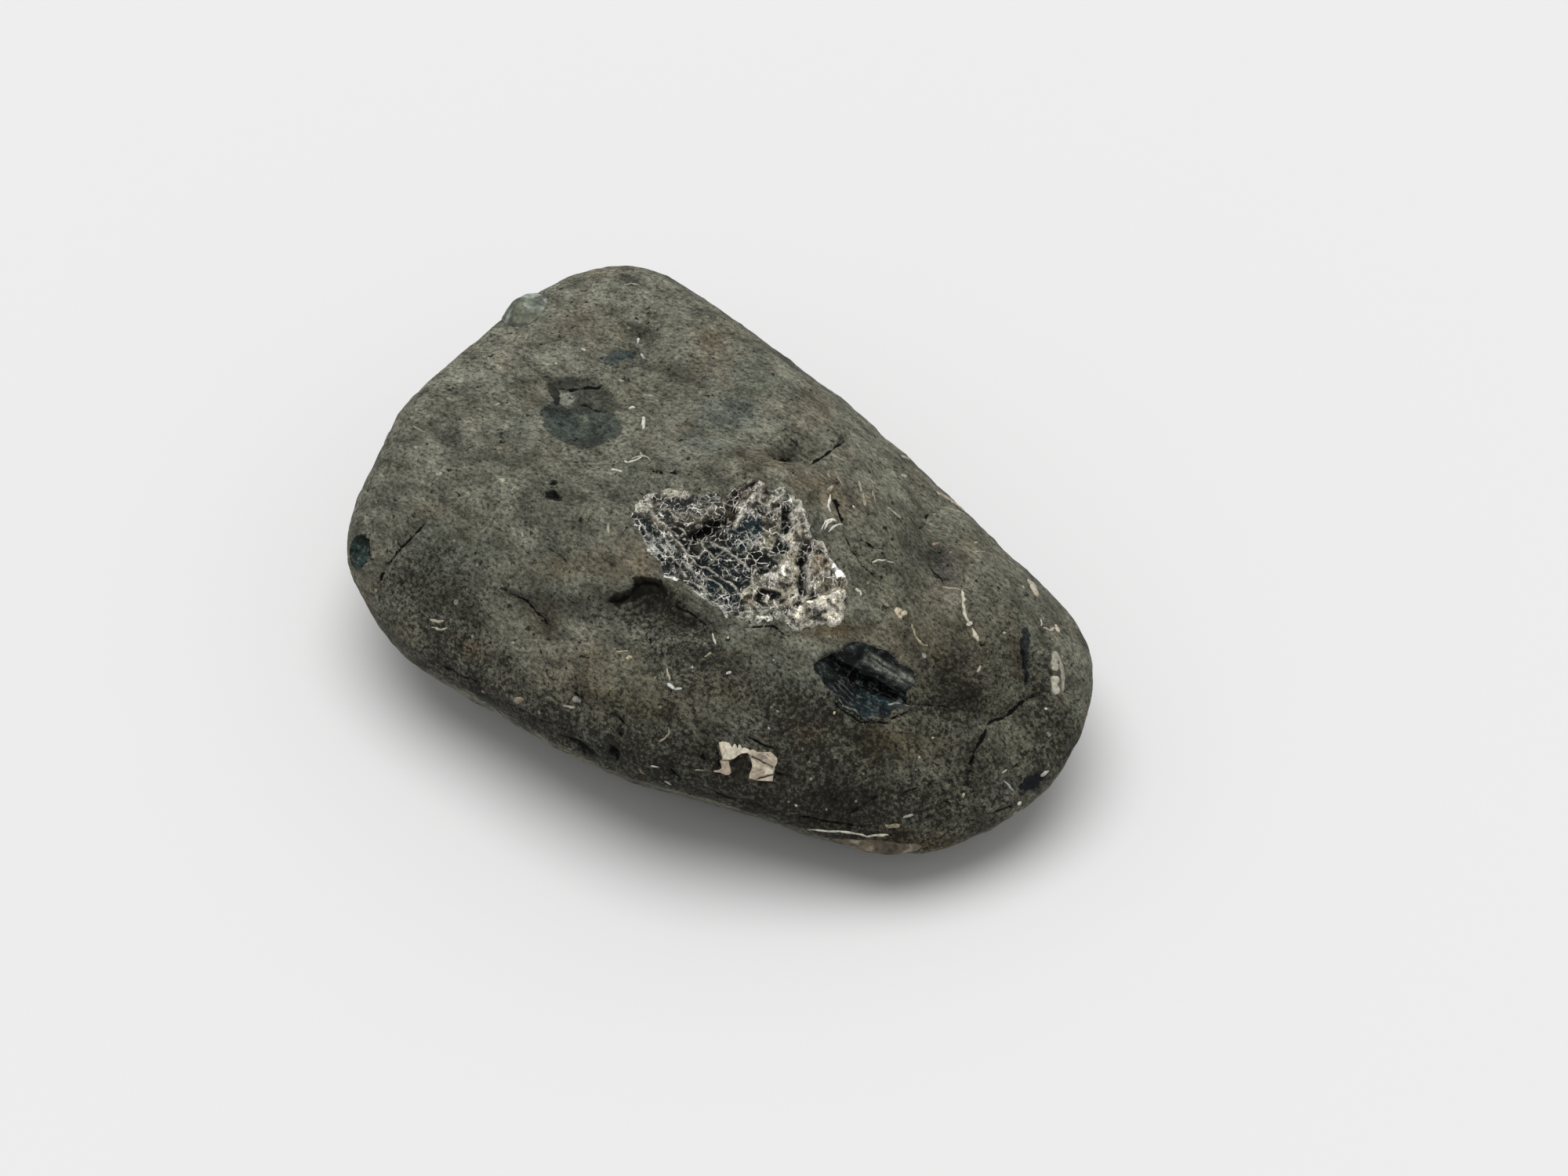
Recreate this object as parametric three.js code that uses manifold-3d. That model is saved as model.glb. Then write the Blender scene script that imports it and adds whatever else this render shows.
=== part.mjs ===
// Fossil carditid bivalve in its stone: a loose, water-worn nodule of dark siltstone.
// A broken ribbed valve lies across the upper face. Smaller shells are fixed round it.
// Millimetres, +Z up. +X runs to the narrow end, and the stone rests on a flat spot at z = 0.

import * as THREE from 'three';
import { mergeVertices } from 'three/addons/utils/BufferGeometryUtils.js';
import Module from 'manifold-3d';

const wasm = await Module();
wasm.setup();

// The stone is the rounded meeting of worn flats round one inner point.
const HEART = new THREE.Vector3(-6.3, 0.8, 12);
const ROUNDING = 18;

// Each worn flat: azimuth and elevation of its outward direction, and its distance from the heart.
const WORN_FLATS = [
  // round the widest outline, from the narrow end
  [35, -4, 60], [48, 8, 47.5], [77, 29, 28.8], [85, 33, 29], [108, 40, 37], [138, 42, 49],
  [160, 38, 49.5], [181, 29, 46], [201, 16, 48.2], [223, -4, 53], [241, -18, 46.5],
  [253, -27, 37.2], [269, -35, 31.8], [287, -40, 30.3], [306, -42, 42.5], [330, -40, 48.5],
  [1, -29, 63], [21, -16, 61],
  // the upper faces
  [174, 80, 22.5], [330, 58, 30], [265, 55, 29], [60, 60, 27],
  // the front flank, which rounds the widest outline
  [242, 14, 46.5], [268, 12, 40], [295, 10, 44.5], [320, 10, 52], [345, 12, 59], [10, 12, 60],
  // the underside and the back
  [0, -90, 12.2], [180, -76, 15.6], [309, -80, 16.5], [90, -74, 15.6], [0, -80, 16.2],
  [240, -72, 16.2], [309, -70, 25], [129, -35, 42], [75, -35, 33], [180, -40, 42],
  [219, -45, 33], [39, -50, 32], [350, -50, 40], [129, 5, 45], [85, 0, 38], [175, 0, 46],
];

// Each swell or hollow: azimuth, elevation, rise (hollows are negative), radius up and down the
// slope, radius along it, and the turn of its long way from the level.
const SWELLS = [
  // the horn, the left bump and the narrow end, seen on the outline
  [143, 21, 1.4, 10, 10, 0], [240, 2, 2.2, 10, 10, 0], [354, -1, 1.2, 13, 13, 0],
  [313, 0, -1.4, 9, 9, 0], [209, 14, -1.2, 6, 6, 0], [227, 8, 1.2, 6, 6, 0],
  [32, 6, -1.2, 8, 8, 0],
  // the rough hollow beside the valve and the swell below it
  [297, 34, -2.4, 4, 9, 12], [270, 18, 1.2, 6, 10, 0],
  // the pit and the bump above the valve
  [29, 64, -1.8, 3, 6, 12], [36, 50, 0.8, 4, 6, 0],
  // the hollow and the ridge of the right shoulder
  [14, 27, -2.0, 5, 11, 0], [22, 22, 1.0, 4, 8, 0],
  // the dips at the smooth patches and the notch beside the edge shell
  [159, 39, -0.7, 5, 7, 0], [187, 35, -0.8, 5, 8, 0], [174, 22, -0.9, 3, 3, 0],
  // the back and the underside
  [95, -8, 1.4, 11, 18, 0], [62, -12, -1.4, 9, 14, 0], [150, -20, 1.4, 12, 12, 0],
  [196, -30, -1.4, 10, 14, 0],
];

// The ledge near the narrow end: its two ends, the step, how sharp it is and how far it reaches.
const LEDGE = { from: [4, 10], to: [346, 2], step: 1.0, sharp: 1.8, reach: 9 };

// Seats: how far a shell stands clear of the stone under it and at its sides, and how far up
// the seat is cut open.
const GAP = 0.3;
const GROW = 0.5;
const SEAT_HEIGHT = 7;

// The ribbed valve: outline in its own plane, u to the right and v up, as seen from straight above.
const VALVE_PLACE = [322, 48];
const VALVE_OUTLINE = [
  [14.0, -2.9], [13.5, -1.3], [12.2, -0.5], [11.2, 0.9], [10.1, 2.5], [9.1, 3.3], [9.0, 4.3],
  [8.6, 6.2], [7.9, 8.4], [6.4, 10.1], [5.3, 10.3], [3.3, 10.5], [2.2, 11.5], [0.0, 10.6],
  [-2.0, 10.3], [-3.8, 9.4], [-5.5, 9.0], [-6.2, 9.6], [-7.4, 10.3], [-9.5, 10.4], [-10.7, 10.1],
  [-12.1, 9.7], [-13.1, 7.8], [-14.2, 6.7], [-13.5, 5.1], [-12.7, 3.4], [-11.7, 1.1],
  [-10.4, -0.8], [-9.9, -2.3], [-8.1, -3.0], [-6.5, -3.4], [-5.3, -4.7], [-3.2, -6.4],
  [-2.0, -7.4], [-0.5, -7.8], [1.0, -8.5], [4.0, -8.0], [5.2, -7.2], [6.3, -8.3], [7.7, -8.8],
  [9.5, -8.4], [10.7, -8.1], [12.2, -8.3], [13.2, -6.9], [13.4, -5.1], [13.6, -3.5],
];
const VALVE_DEPTH = 1.8;
const VALVE_TILT = 0.07;

// Its ribs and furrows: two ends, half width, and height (furrows are negative).
const VALVE_RIBS = [
  [-10.4, 9.2, -6.5, 9.2, 0.9, 0.5], [-8.2, 5.1, -3.4, 6.8, 1.0, 0.5],
  [-5.5, 2.9, -1.2, 5.4, 0.7, -1.4], [-1.0, 4.6, 2.4, 10.1, 0.9, 0.9],
  [-1.8, 9.0, -1.4, 6.1, 0.7, -0.6], [2.9, 5.4, 4.6, 8.4, 0.7, 0.5],
  [2.6, 9.5, 2.8, 6.5, 0.5, -0.6], [7.5, 6.4, 6.5, 1.4, 1.1, 0.9],
  [5.9, 6.4, 5.6, 3.8, 0.5, -0.9], [8.9, 2.7, 8.7, -3.7, 0.6, 0.8],
  [8.0, -0.3, 8.0, -4.6, 0.5, -0.8], [10.3, 2.0, 12.1, -1.1, 0.7, 0.6],
  [12.2, -4.6, 7.6, -7.2, 1.3, 0.9], [5.9, -6.6, 13.2, -3.0, 0.4, -0.6],
  [1.9, -4.9, 5.2, -4.8, 0.9, -0.7], [-2.4, -4.4, 0.0, -6.5, 0.5, 0.3],
  [-10.9, 6.2, -5.8, -0.9, 0.5, 0.4], [-12.0, 4.6, -7.6, -2.2, 0.9, -0.4],
  [-3.5, 0.2, 1.4, -3.4, 2.6, -0.5],
];

// The small dark valve: hollow, folded along a deep line, with pointed ends and a scalloped rim.
const DARK_PLACE = [342, 18];
const DARK_OUTLINE = [
  [6.3, 0.5], [5.6, 2.0], [4.1, 2.9], [2.9, 4.3], [1.4, 4.8], [-0.3, 5.2], [-1.6, 5.4],
  [-3.1, 4.8], [-3.5, 4.2], [-5.1, 3.9], [-6.1, 3.5], [-7.2, 2.1], [-6.5, 0.9], [-5.7, -0.3],
  [-4.6, -1.6], [-3.6, -3.0], [-2.8, -3.5], [-2.0, -3.7], [-1.1, -4.3], [0.0, -4.9], [0.7, -4.6],
  [1.5, -4.8], [2.8, -4.9], [3.1, -3.9], [4.4, -3.4], [5.9, -2.7], [5.6, -0.4],
];

// Its fold: the line, the depth there, the width of the floor that falls to it, and the dip of the
// wall above it. Both fade out over the fade's width, towards a round edge.
const DARK_FOLD = { from: [-2.4, 1.9], to: [5.9, -2.5], depth: 2.6, floor: 4.5, upper: 0.7 };
const DARK_FADE = { edge: 8.45, width: 6.5 };
const DARK_DEPTH = 4.2;

// The cream shell piece on the front flank: a flat plate with an arch broken out of its left half.
const CREAM_PLACE = [316, 12];
const CREAM_OUTLINE = [
  [-3.3, 2.4], [-2.4, 2.6], [-1.9, 2.0], [-1.4, 2.3], [-0.8, 2.2], [-0.2, 1.7], [1.0, 1.5],
  [1.8, 1.6], [3.3, 1.1], [4.1, 0.4], [3.7, -0.5], [3.6, -1.7], [3.4, -2.4], [2.3, -2.4],
  [0.5, -2.0], [0.8, -1.2], [0.6, 0.4], [0.0, 0.9], [-0.7, 0.2], [-1.4, -0.9], [-2.0, -1.7],
  [-2.9, -1.4], [-3.9, -1.2], [-3.3, 0.2],
];
const CREAM_THICK = 1.6;
const CREAM_PROUD = 0.35;
const CREAM_BEVEL = 0.2;

// The shell pieces at the stone's edge: place, half widths in u and v, rise and depth.
const EDGE_SHELLS = {
  rim_shell: { place: [166, 19], half: [3.4, 4.2], rise: 1.5, depth: 1.6 },
  edge_valve: { place: [227, 11], half: [2.4, 2.5], rise: -1.7, depth: 3.0 },
  base_shell: { place: [334, -3], half: [5.6, 1.7], rise: 0.7, depth: 1.6 },
};

// Colour and roughness of each piece.
const FINISHES = {
  matrix_stone: ['#55544b', 0.85],
  carditid_shell: ['#8f8d80', 0.5],
  dark_valve: ['#1d2a2a', 0.45],
  cream_fragment: ['#cdc3b0', 0.55],
  rim_shell: ['#8f968a', 0.4],
  edge_valve: ['#1f3733', 0.4],
  base_shell: ['#8a8573', 0.4],
};

// The stone's mesh: meridians round the upright axis, crowded towards the two ends of the stone,
// and rings that are closer down to below the widest edge.
const MERIDIANS = 72;
const CROWDING = 0.75;
const UPPER_RINGS = 38;
const LOWER_RINGS = 6;
const UPPER_REACH = 110;

const RADIANS = Math.PI / 180;
const WELD = 1e-5;
const UP = new THREE.Vector3(0, 0, 1);

function direction([azimuth, elevation]) {
  const level = Math.cos(elevation * RADIANS);
  return new THREE.Vector3(
    Math.cos(azimuth * RADIANS) * level,
    Math.sin(azimuth * RADIANS) * level,
    Math.sin(elevation * RADIANS),
  );
}

const flats = WORN_FLATS.map(([azimuth, elevation, distance]) => ({
  facing: direction([azimuth, elevation]),
  distance,
}));

// Distance from the heart to the worn surface. Every flat pulls it in, the nearest one most.
function wornRadius(toward) {
  let sum = 0;
  for (const { facing, distance } of flats) {
    sum += (Math.max(facing.dot(toward), 0) / distance) ** ROUNDING;
  }
  return sum ** (-1 / ROUNDING);
}

// The way that the worn surface faces: each flat's facing, by its share of the sum.
function wornNormal(toward) {
  const normal = new THREE.Vector3();
  for (const { facing, distance } of flats) {
    const share = (Math.max(facing.dot(toward), 0) / distance) ** (ROUNDING - 1) / distance;
    normal.addScaledVector(facing, share);
  }
  return normal.normalize();
}

const swells = SWELLS.map(([azimuth, elevation, rise, across, along, turn]) => {
  const toward = direction([azimuth, elevation]);
  const normal = wornNormal(toward);
  const level = new THREE.Vector3().crossVectors(UP, normal).normalize();
  const way = level.applyAxisAngle(normal, turn * RADIANS);
  return { centre: toward.multiplyScalar(wornRadius(toward)), way, rise, across, along };
});

const ledgeEnds = [LEDGE.from, LEDGE.to].map((place) => {
  const toward = direction(place);
  return toward.multiplyScalar(wornRadius(toward));
});
const ledgeMiddle = ledgeEnds[0].clone().lerp(ledgeEnds[1], 0.5);
const ledgeSide = new THREE.Vector3()
  .crossVectors(ledgeEnds[1].clone().sub(ledgeEnds[0]), ledgeMiddle)
  .normalize();

// Distance from the heart to the skin of the stone, with its swells, hollows and ledge.
function skinRadius(toward) {
  const worn = wornRadius(toward);
  const point = toward.clone().multiplyScalar(worn);
  let radius = worn;
  for (const { centre, way, rise, across, along } of swells) {
    const offset = point.clone().sub(centre);
    const lengthwise = offset.dot(way);
    const rest = offset.lengthSq() - lengthwise ** 2;
    radius += rise * Math.exp(-((lengthwise / along) ** 2) - rest / across ** 2);
  }
  const offset = point.clone().sub(ledgeMiddle);
  const fade = Math.exp(-offset.lengthSq() / LEDGE.reach ** 2);
  return radius + LEDGE.step * Math.tanh(offset.dot(ledgeSide) / LEDGE.sharp) * fade;
}

function toManifold(geometry) {
  const bare = geometry.clone();
  bare.deleteAttribute('normal');
  bare.deleteAttribute('uv');
  const merged = mergeVertices(bare, WELD);
  return new wasm.Manifold(new wasm.Mesh({
    numProp: 3,
    vertProperties: new Float32Array(merged.attributes.position.array),
    triVerts: new Uint32Array(merged.index.array),
  }));
}

function toGeometry(solid) {
  const mesh = solid.getMesh();
  const geometry = new THREE.BufferGeometry();
  geometry.setAttribute('position', new THREE.BufferAttribute(mesh.vertProperties, 3));
  geometry.setIndex(new THREE.BufferAttribute(mesh.triVerts, 1));
  geometry.computeVertexNormals();
  return geometry;
}

// Faces of rings of points between a first and a last point, outward when the rings run leftward.
// Each four-sided cell is split along the diagonal that stands out farther.
function cappedRings(count, rings, standing = () => 0) {
  const last = 1 + rings * count;
  const at = (ring, step) => 1 + ring * count + step % count;
  const faces = [];
  for (let step = 0; step < count; step += 1) {
    faces.push([0, at(0, step), at(0, step + 1)]);
    for (let ring = 0; ring < rings - 1; ring += 1) {
      const [a, b] = [at(ring, step), at(ring + 1, step)];
      const [c, d] = [at(ring + 1, step + 1), at(ring, step + 1)];
      if (standing(a, c) >= standing(b, d)) {
        faces.push([a, b, c], [a, c, d]);
      } else {
        faces.push([a, b, d], [b, c, d]);
      }
    }
    faces.push([last, at(rings - 1, step + 1), at(rings - 1, step)]);
  }
  return faces;
}

function indexedGeometry(points, faces) {
  const geometry = new THREE.BufferGeometry();
  geometry.setAttribute('position', new THREE.Float32BufferAttribute(points.flat(), 3));
  geometry.setIndex(faces.flat());
  return geometry;
}

// The bare stone: level rings of points round the upright axis through its heart.
function stoneGeometry() {
  const rings = [];
  for (let ring = 1; ring <= UPPER_RINGS; ring += 1) {
    rings.push(90 - UPPER_REACH * ring / UPPER_RINGS);
  }
  for (let ring = 1; ring <= LOWER_RINGS; ring += 1) {
    rings.push(90 - UPPER_REACH - (180 - UPPER_REACH) * ring / (LOWER_RINGS + 1));
  }
  const onSkin = (azimuth, elevation) => {
    const toward = direction([azimuth, elevation]);
    return toward.clone().multiplyScalar(skinRadius(toward)).add(HEART).toArray();
  };
  const points = [onSkin(0, 90)];
  for (const elevation of rings) {
    for (let step = 0; step < MERIDIANS; step += 1) {
      const turn = 2 * Math.PI * step / MERIDIANS;
      const azimuth = Math.atan2(CROWDING * Math.sin(turn), Math.cos(turn)) / RADIANS;
      points.push(onSkin(azimuth, elevation));
    }
  }
  points.push(onSkin(0, -90));
  const standing = (first, second) => new THREE.Vector3(...points[first])
    .lerp(new THREE.Vector3(...points[second]), 0.5)
    .distanceTo(HEART);
  return indexedGeometry(points, cappedRings(MERIDIANS, rings.length, standing));
}

// The slab under the stone that its flat spot is cut with.
function floorSlab() {
  const span = 200;
  const slab = new THREE.BoxGeometry(span, span, span);
  slab.translate(0, 0, -span / 2);
  return toManifold(slab);
}

// Where a shell lies: a frame on the skin, u level to the right of the viewing side, w outward.
const VIEWING_AZIMUTH = 39;
function seatOn(place) {
  const toward = direction(place);
  const w = wornNormal(toward);
  const level = direction([VIEWING_AZIMUTH, 0]);
  const u = level.addScaledVector(w, -level.dot(w)).normalize();
  const v = new THREE.Vector3().crossVectors(w, u);
  const origin = toward.multiplyScalar(skinRadius(toward)).add(HEART);
  return { matrix: new THREE.Matrix4().makeBasis(u, v, w).setPosition(origin), origin, u, v, w };
}

// Height of the stone's skin over the seat's plane at u, v, found by halving.
function skinHeight(seat, u, v) {
  const halvings = 24;
  let [low, high] = [-14, 8];
  for (let halving = 0; halving < halvings; halving += 1) {
    const middle = (low + high) / 2;
    const point = seat.origin.clone().addScaledVector(seat.u, u).addScaledVector(seat.v, v)
      .addScaledVector(seat.w, middle).sub(HEART);
    const reach = point.length();
    if (reach < skinRadius(point.divideScalar(reach))) {
      low = middle;
    } else {
      high = middle;
    }
  }
  return low;
}

// A plate with a free outline: rings shrink to its middle, top and underside are given heights.
function plateGeometry(outline, rings, top, underside) {
  const points = [[0, 0, top(0, 0)]];
  for (let ring = 1; ring <= rings; ring += 1) {
    for (const [u, v] of outline) {
      const share = ring / rings;
      points.push([u * share, v * share, top(u * share, v * share)]);
    }
  }
  for (const [u, v] of outline) {
    points.push([u, v, underside(u, v)]);
  }
  points.push([0, 0, underside(0, 0)]);
  return indexedGeometry(points, cappedRings(outline.length, rings + 1));
}

const grown = (outline) => outline.map(([u, v]) => {
  const scale = 1 + GROW / Math.hypot(u, v);
  return [u * scale, v * scale];
});

// The seat that is cut for a plate: a little wider and deeper, and open above the skin.
function seatSolid(seat, outline, underside) {
  const geometry = plateGeometry(
    grown(outline),
    1,
    (u, v) => skinHeight(seat, u, v) + SEAT_HEIGHT,
    (u, v) => underside(u, v) - GAP,
  );
  geometry.applyMatrix4(seat.matrix);
  return toManifold(geometry);
}

// Distance from a point to the stretch between two points of the plane.
function distanceTo([u0, v0, u1, v1], u, v) {
  const du = u1 - u0;
  const dv = v1 - v0;
  const share = Math.min(Math.max(((u - u0) * du + (v - v0) * dv) / (du * du + dv * dv), 0), 1);
  return Math.hypot(u - u0 - share * du, v - v0 - share * dv);
}

function mesh(name, geometry) {
  const [color, roughness] = FINISHES[name];
  const material = new THREE.MeshStandardMaterial({ color, roughness, metalness: 0 });
  const piece = new THREE.Mesh(geometry, material);
  piece.name = name;
  return piece;
}

// A shell in its seat: the node turned and placed on the skin, and the solid that clears its seat.
function seated(name, place, outline, rings, relief, depth) {
  const seat = seatOn(place);
  const top = (u, v) => skinHeight(seat, u, v) + relief(u, v);
  const underside = (u, v) => skinHeight(seat, u, v) - depth;
  const piece = mesh(name, plateGeometry(outline, rings, top, underside));
  piece.geometry.computeVertexNormals();
  piece.applyMatrix4(seat.matrix);
  return { piece, cut: seatSolid(seat, outline, underside) };
}

// The ribbed valve: radiating ribs and furrows on a plate that lifts towards its lower edge.
function ribbedValve() {
  const relief = (u, v) => {
    let height = -VALVE_TILT * v;
    for (const [u0, v0, u1, v1, half, rise] of VALVE_RIBS) {
      height += rise * Math.exp(-((distanceTo([u0, v0, u1, v1], u, v) / half) ** 2));
    }
    return height;
  };
  const rings = 13;
  return seated('carditid_shell', VALVE_PLACE, VALVE_OUTLINE, rings, relief, VALVE_DEPTH);
}

// The dark valve: a floor that falls to the fold, and an upper wall that stands steep over it.
function darkValve() {
  const { from, to, depth, floor, upper } = DARK_FOLD;
  const length = Math.hypot(to[0] - from[0], to[1] - from[1]);
  const across = [(from[1] - to[1]) / length, (to[0] - from[0]) / length];
  const relief = (u, v) => {
    const beyond = (u - from[0]) * across[0] + (v - from[1]) * across[1];
    const fade = (DARK_FADE.edge - Math.hypot(u, v)) / DARK_FADE.width;
    const inward = Math.min(Math.max(fade, 0), 1);
    if (beyond > 0) {
      return -upper * inward;
    }
    return -depth * Math.max(0, 1 + beyond / floor) * inward;
  };
  const rings = 9;
  return seated('dark_valve', DARK_PLACE, DARK_OUTLINE, rings, relief, DARK_DEPTH);
}

// The cream piece: an extruded outline with a small bevel, let into a seat of its own outline.
function creamFragment() {
  const seat = seatOn(CREAM_PLACE);
  const plate = (thick, spread, rim) => {
    const shape = new THREE.Shape(CREAM_OUTLINE.map(([u, v]) => new THREE.Vector2(u, v)));
    const geometry = new THREE.ExtrudeGeometry(shape, {
      depth: thick,
      bevelEnabled: true,
      bevelSegments: 1,
      bevelThickness: rim,
      bevelSize: rim,
      bevelOffset: spread - rim,
    });
    geometry.deleteAttribute('normal');
    geometry.deleteAttribute('uv');
    return mergeVertices(geometry, WELD);
  };
  const body = plate(CREAM_THICK - 2 * CREAM_BEVEL, 0, CREAM_BEVEL);
  body.translate(0, 0, CREAM_PROUD - CREAM_THICK + CREAM_BEVEL);
  body.computeVertexNormals();
  const piece = mesh('cream_fragment', body);
  piece.applyMatrix4(seat.matrix);
  const [seatSpread, seatRim] = [0.35, 0.01];
  const hole = plate(SEAT_HEIGHT, seatSpread, seatRim);
  hole.translate(0, 0, CREAM_PROUD - CREAM_THICK - GAP);
  hole.applyMatrix4(seat.matrix);
  return { piece, cut: toManifold(hole) };
}

// A shell piece at the stone's edge: an oval that stands out as a nub or sinks in as a cup.
function edgeShell(name, { place, half, rise, depth }) {
  const corners = 20;
  const outline = [];
  for (let corner = 0; corner < corners; corner += 1) {
    const around = 2 * Math.PI * corner / corners;
    outline.push([half[0] * Math.cos(around), half[1] * Math.sin(around)]);
  }
  const relief = (u, v) => rise * Math.max(0, 1 - (u / half[0]) ** 2 - (v / half[1]) ** 2);
  const rings = 4;
  return seated(name, place, outline, rings, relief, depth);
}

const shells = [
  ribbedValve(),
  darkValve(),
  creamFragment(),
  ...Object.entries(EDGE_SHELLS).map(([name, values]) => edgeShell(name, values)),
];

let stone = toManifold(stoneGeometry()).subtract(floorSlab());
for (const { cut } of shells) {
  stone = stone.subtract(cut);
}

const fossil = new THREE.Group();
fossil.add(mesh('matrix_stone', toGeometry(stone)));
for (const { piece } of shells) {
  fossil.add(piece);
}

export default fossil;
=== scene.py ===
"""A loose, water-worn nodule of dark siltstone with fossil shells fixed in it.

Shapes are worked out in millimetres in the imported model's own frame: +X along the stone to its narrow
end, +Z up, the floor at z = 0. What the photograph shows is named by its place in the picture, 2000 by
1500 pixels from its upper left, and is laid on the stone along the lines of sight.
"""

import bpy
import numpy as np
from mathutils import Matrix


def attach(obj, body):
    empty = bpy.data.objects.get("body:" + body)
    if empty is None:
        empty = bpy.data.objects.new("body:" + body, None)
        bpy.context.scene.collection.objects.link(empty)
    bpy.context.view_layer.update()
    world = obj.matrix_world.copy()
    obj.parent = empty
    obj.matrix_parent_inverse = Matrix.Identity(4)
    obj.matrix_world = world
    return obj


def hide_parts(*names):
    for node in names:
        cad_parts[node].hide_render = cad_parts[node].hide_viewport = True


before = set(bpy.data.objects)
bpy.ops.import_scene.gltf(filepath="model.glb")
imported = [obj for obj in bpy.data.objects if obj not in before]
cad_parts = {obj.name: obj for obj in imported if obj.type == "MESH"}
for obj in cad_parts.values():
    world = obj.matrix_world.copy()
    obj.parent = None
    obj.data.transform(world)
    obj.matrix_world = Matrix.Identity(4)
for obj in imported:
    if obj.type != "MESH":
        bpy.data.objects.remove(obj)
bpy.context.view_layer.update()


# The view. The photographer stands at the long front side and looks down on the stone, with a 100 mm
# lens about 0.58 m away. The same lens gives the lines of sight that lay the drawn features down.
PICTURE_WIDTH = 2000
PICTURE_MIDDLE = np.array([1000.0, 750.0])
LENS_MM = 100.0
SENSOR_MM = 36.0
PIXEL_MM = 0.104
AIM = np.array([4.0, 4.0, 11.2])
VIEW_AZIMUTH = np.radians(39.0)
VIEW_ELEVATION = np.radians(48.0)

FOCAL = LENS_MM / SENSOR_MM * PICTURE_WIDTH
AHEAD = np.array([
    -np.sin(VIEW_AZIMUTH) * np.cos(VIEW_ELEVATION),
    np.cos(VIEW_AZIMUTH) * np.cos(VIEW_ELEVATION),
    -np.sin(VIEW_ELEVATION),
])
RIGHT = np.array([np.cos(VIEW_AZIMUTH), np.sin(VIEW_AZIMUTH), 0.0])
UPWARD = np.cross(RIGHT, AHEAD)
EYE = AIM - AHEAD * FOCAL * PIXEL_MM


def picture_place(points):
    """Where points fall in the picture: offsets across and down, over the depth, times the focal length."""
    away = points - EYE
    depth = away @ AHEAD
    offset = np.stack([away @ RIGHT, -(away @ UPWARD)], -1)
    return PICTURE_MIDDLE + FOCAL * offset / depth[..., None]


camera_data = bpy.data.cameras.new("photo_view")
camera_data.lens = LENS_MM
camera_data.sensor_width = SENSOR_MM
camera_data.clip_start = 0.05
camera_data.clip_end = 20.0
camera = bpy.data.objects.new("photo_view", camera_data)
bpy.context.scene.collection.objects.link(camera)
turn = Matrix([RIGHT, UPWARD, -AHEAD]).transposed().to_4x4()
camera.matrix_world = Matrix.Translation(EYE / 1000) @ turn
bpy.context.scene.camera = camera


# The stone: one rounded nodule of fine, dark grey-brown siltstone, broken out of its bed and worn
# smooth by water. Its skin is the rounded meeting of worn flats round one inner point, the heart.
HEART = np.array([-6.3, 0.8, 12.0])
WORN_FLATS = np.array([
    # azimuth and elevation of the outward direction, and distance from the heart
    (35, -4, 60.3), (48, 8, 47.5), (77, 29, 28.8), (85, 33, 29), (108, 40, 37), (138, 42, 49),
    (160, 38, 49.0), (181, 29, 45.4), (201, 16, 47.8), (223, -4, 53), (241, -18, 46.5),
    (253, -27, 37.2), (269, -35, 31.8), (287, -40, 30.3), (306, -42, 42.5), (330, -40, 48.5),
    (1, -29, 63), (21, -16, 61.7), (174, 80, 22.5), (330, 58, 30), (265, 55, 29), (60, 60, 27),
    (242, 14, 46.5), (268, 12, 40), (295, 10, 44.5), (320, 10, 52), (345, 12, 59), (10, 12, 60),
    (0, -90, 12.2), (180, -76, 15.6), (309, -80, 16.5), (90, -74, 15.6), (0, -80, 16.2),
    (240, -72, 16.2), (309, -70, 25), (129, -35, 42), (75, -35, 33), (180, -40, 42),
    (219, -45, 33), (39, -50, 32), (350, -50, 40), (129, 5, 45), (85, 0, 38), (175, 0, 46),
])
STONE_SWELLS = [
    # azimuth, elevation, rise, radius across and along, turn of the long way from the level
    (143, 21, 1.4, 10, 10, 0), (240, 2, 2.2, 10, 10, 0), (354, -1, 1.2, 13, 13, 0), (313, 0, -1.4, 9, 9, 0),
    (209, 14, -1.2, 6, 6, 0), (227, 8, 1.2, 6, 6, 0), (32, 6, -1.2, 8, 8, 0), (297, 34, -2.4, 4, 9, 12),
    (270, 18, 1.2, 6, 10, 0), (29, 64, -1.8, 3, 6, 12), (36, 50, 0.8, 4, 6, 0), (14, 27, -2.0, 5, 11, 0),
    (22, 22, 1.0, 4, 8, 0), (159, 39, -0.7, 5, 7, 0), (187, 35, -0.8, 5, 8, 0), (174, 22, -1.3, 3, 3.5, 0),
    (95, -8, 1.4, 11, 18, 0), (62, -12, -1.4, 9, 14, 0), (150, -20, 1.4, 12, 12, 0),
    (196, -30, -1.4, 10, 14, 0),
]
STONE_LEDGE = {"start": (4, 10), "end": (346, 2), "step": 1.0, "sharp": 1.8, "reach": 9.0}
HALVINGS = 18
SEARCH_REACH = 40.0
SEARCH_STEPS = 13
WELL_OUTSIDE = 60.0


def direction(azimuth, elevation):
    """Unit vector of an azimuth from +X and an elevation over the level, in degrees."""
    azimuth, elevation = np.radians(azimuth), np.radians(elevation)
    level = np.cos(elevation)
    return np.stack([np.cos(azimuth) * level, np.sin(azimuth) * level, np.sin(elevation)], -1)


FLAT_FACING = direction(WORN_FLATS[:, 0], WORN_FLATS[:, 1])
FLAT_DISTANCE = WORN_FLATS[:, 2]


def unit(vectors):
    """Vectors over their own length."""
    return vectors / np.linalg.norm(vectors, axis=-1, keepdims=True)


def flat_shares(toward):
    """For each flat, its facing times the direction over its distance, and that to the 16th power."""
    share = np.maximum(toward @ FLAT_FACING.T, 0) / FLAT_DISTANCE
    power = share ** 2
    for _ in range(3):
        power = power ** 2
    return share, power


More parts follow.
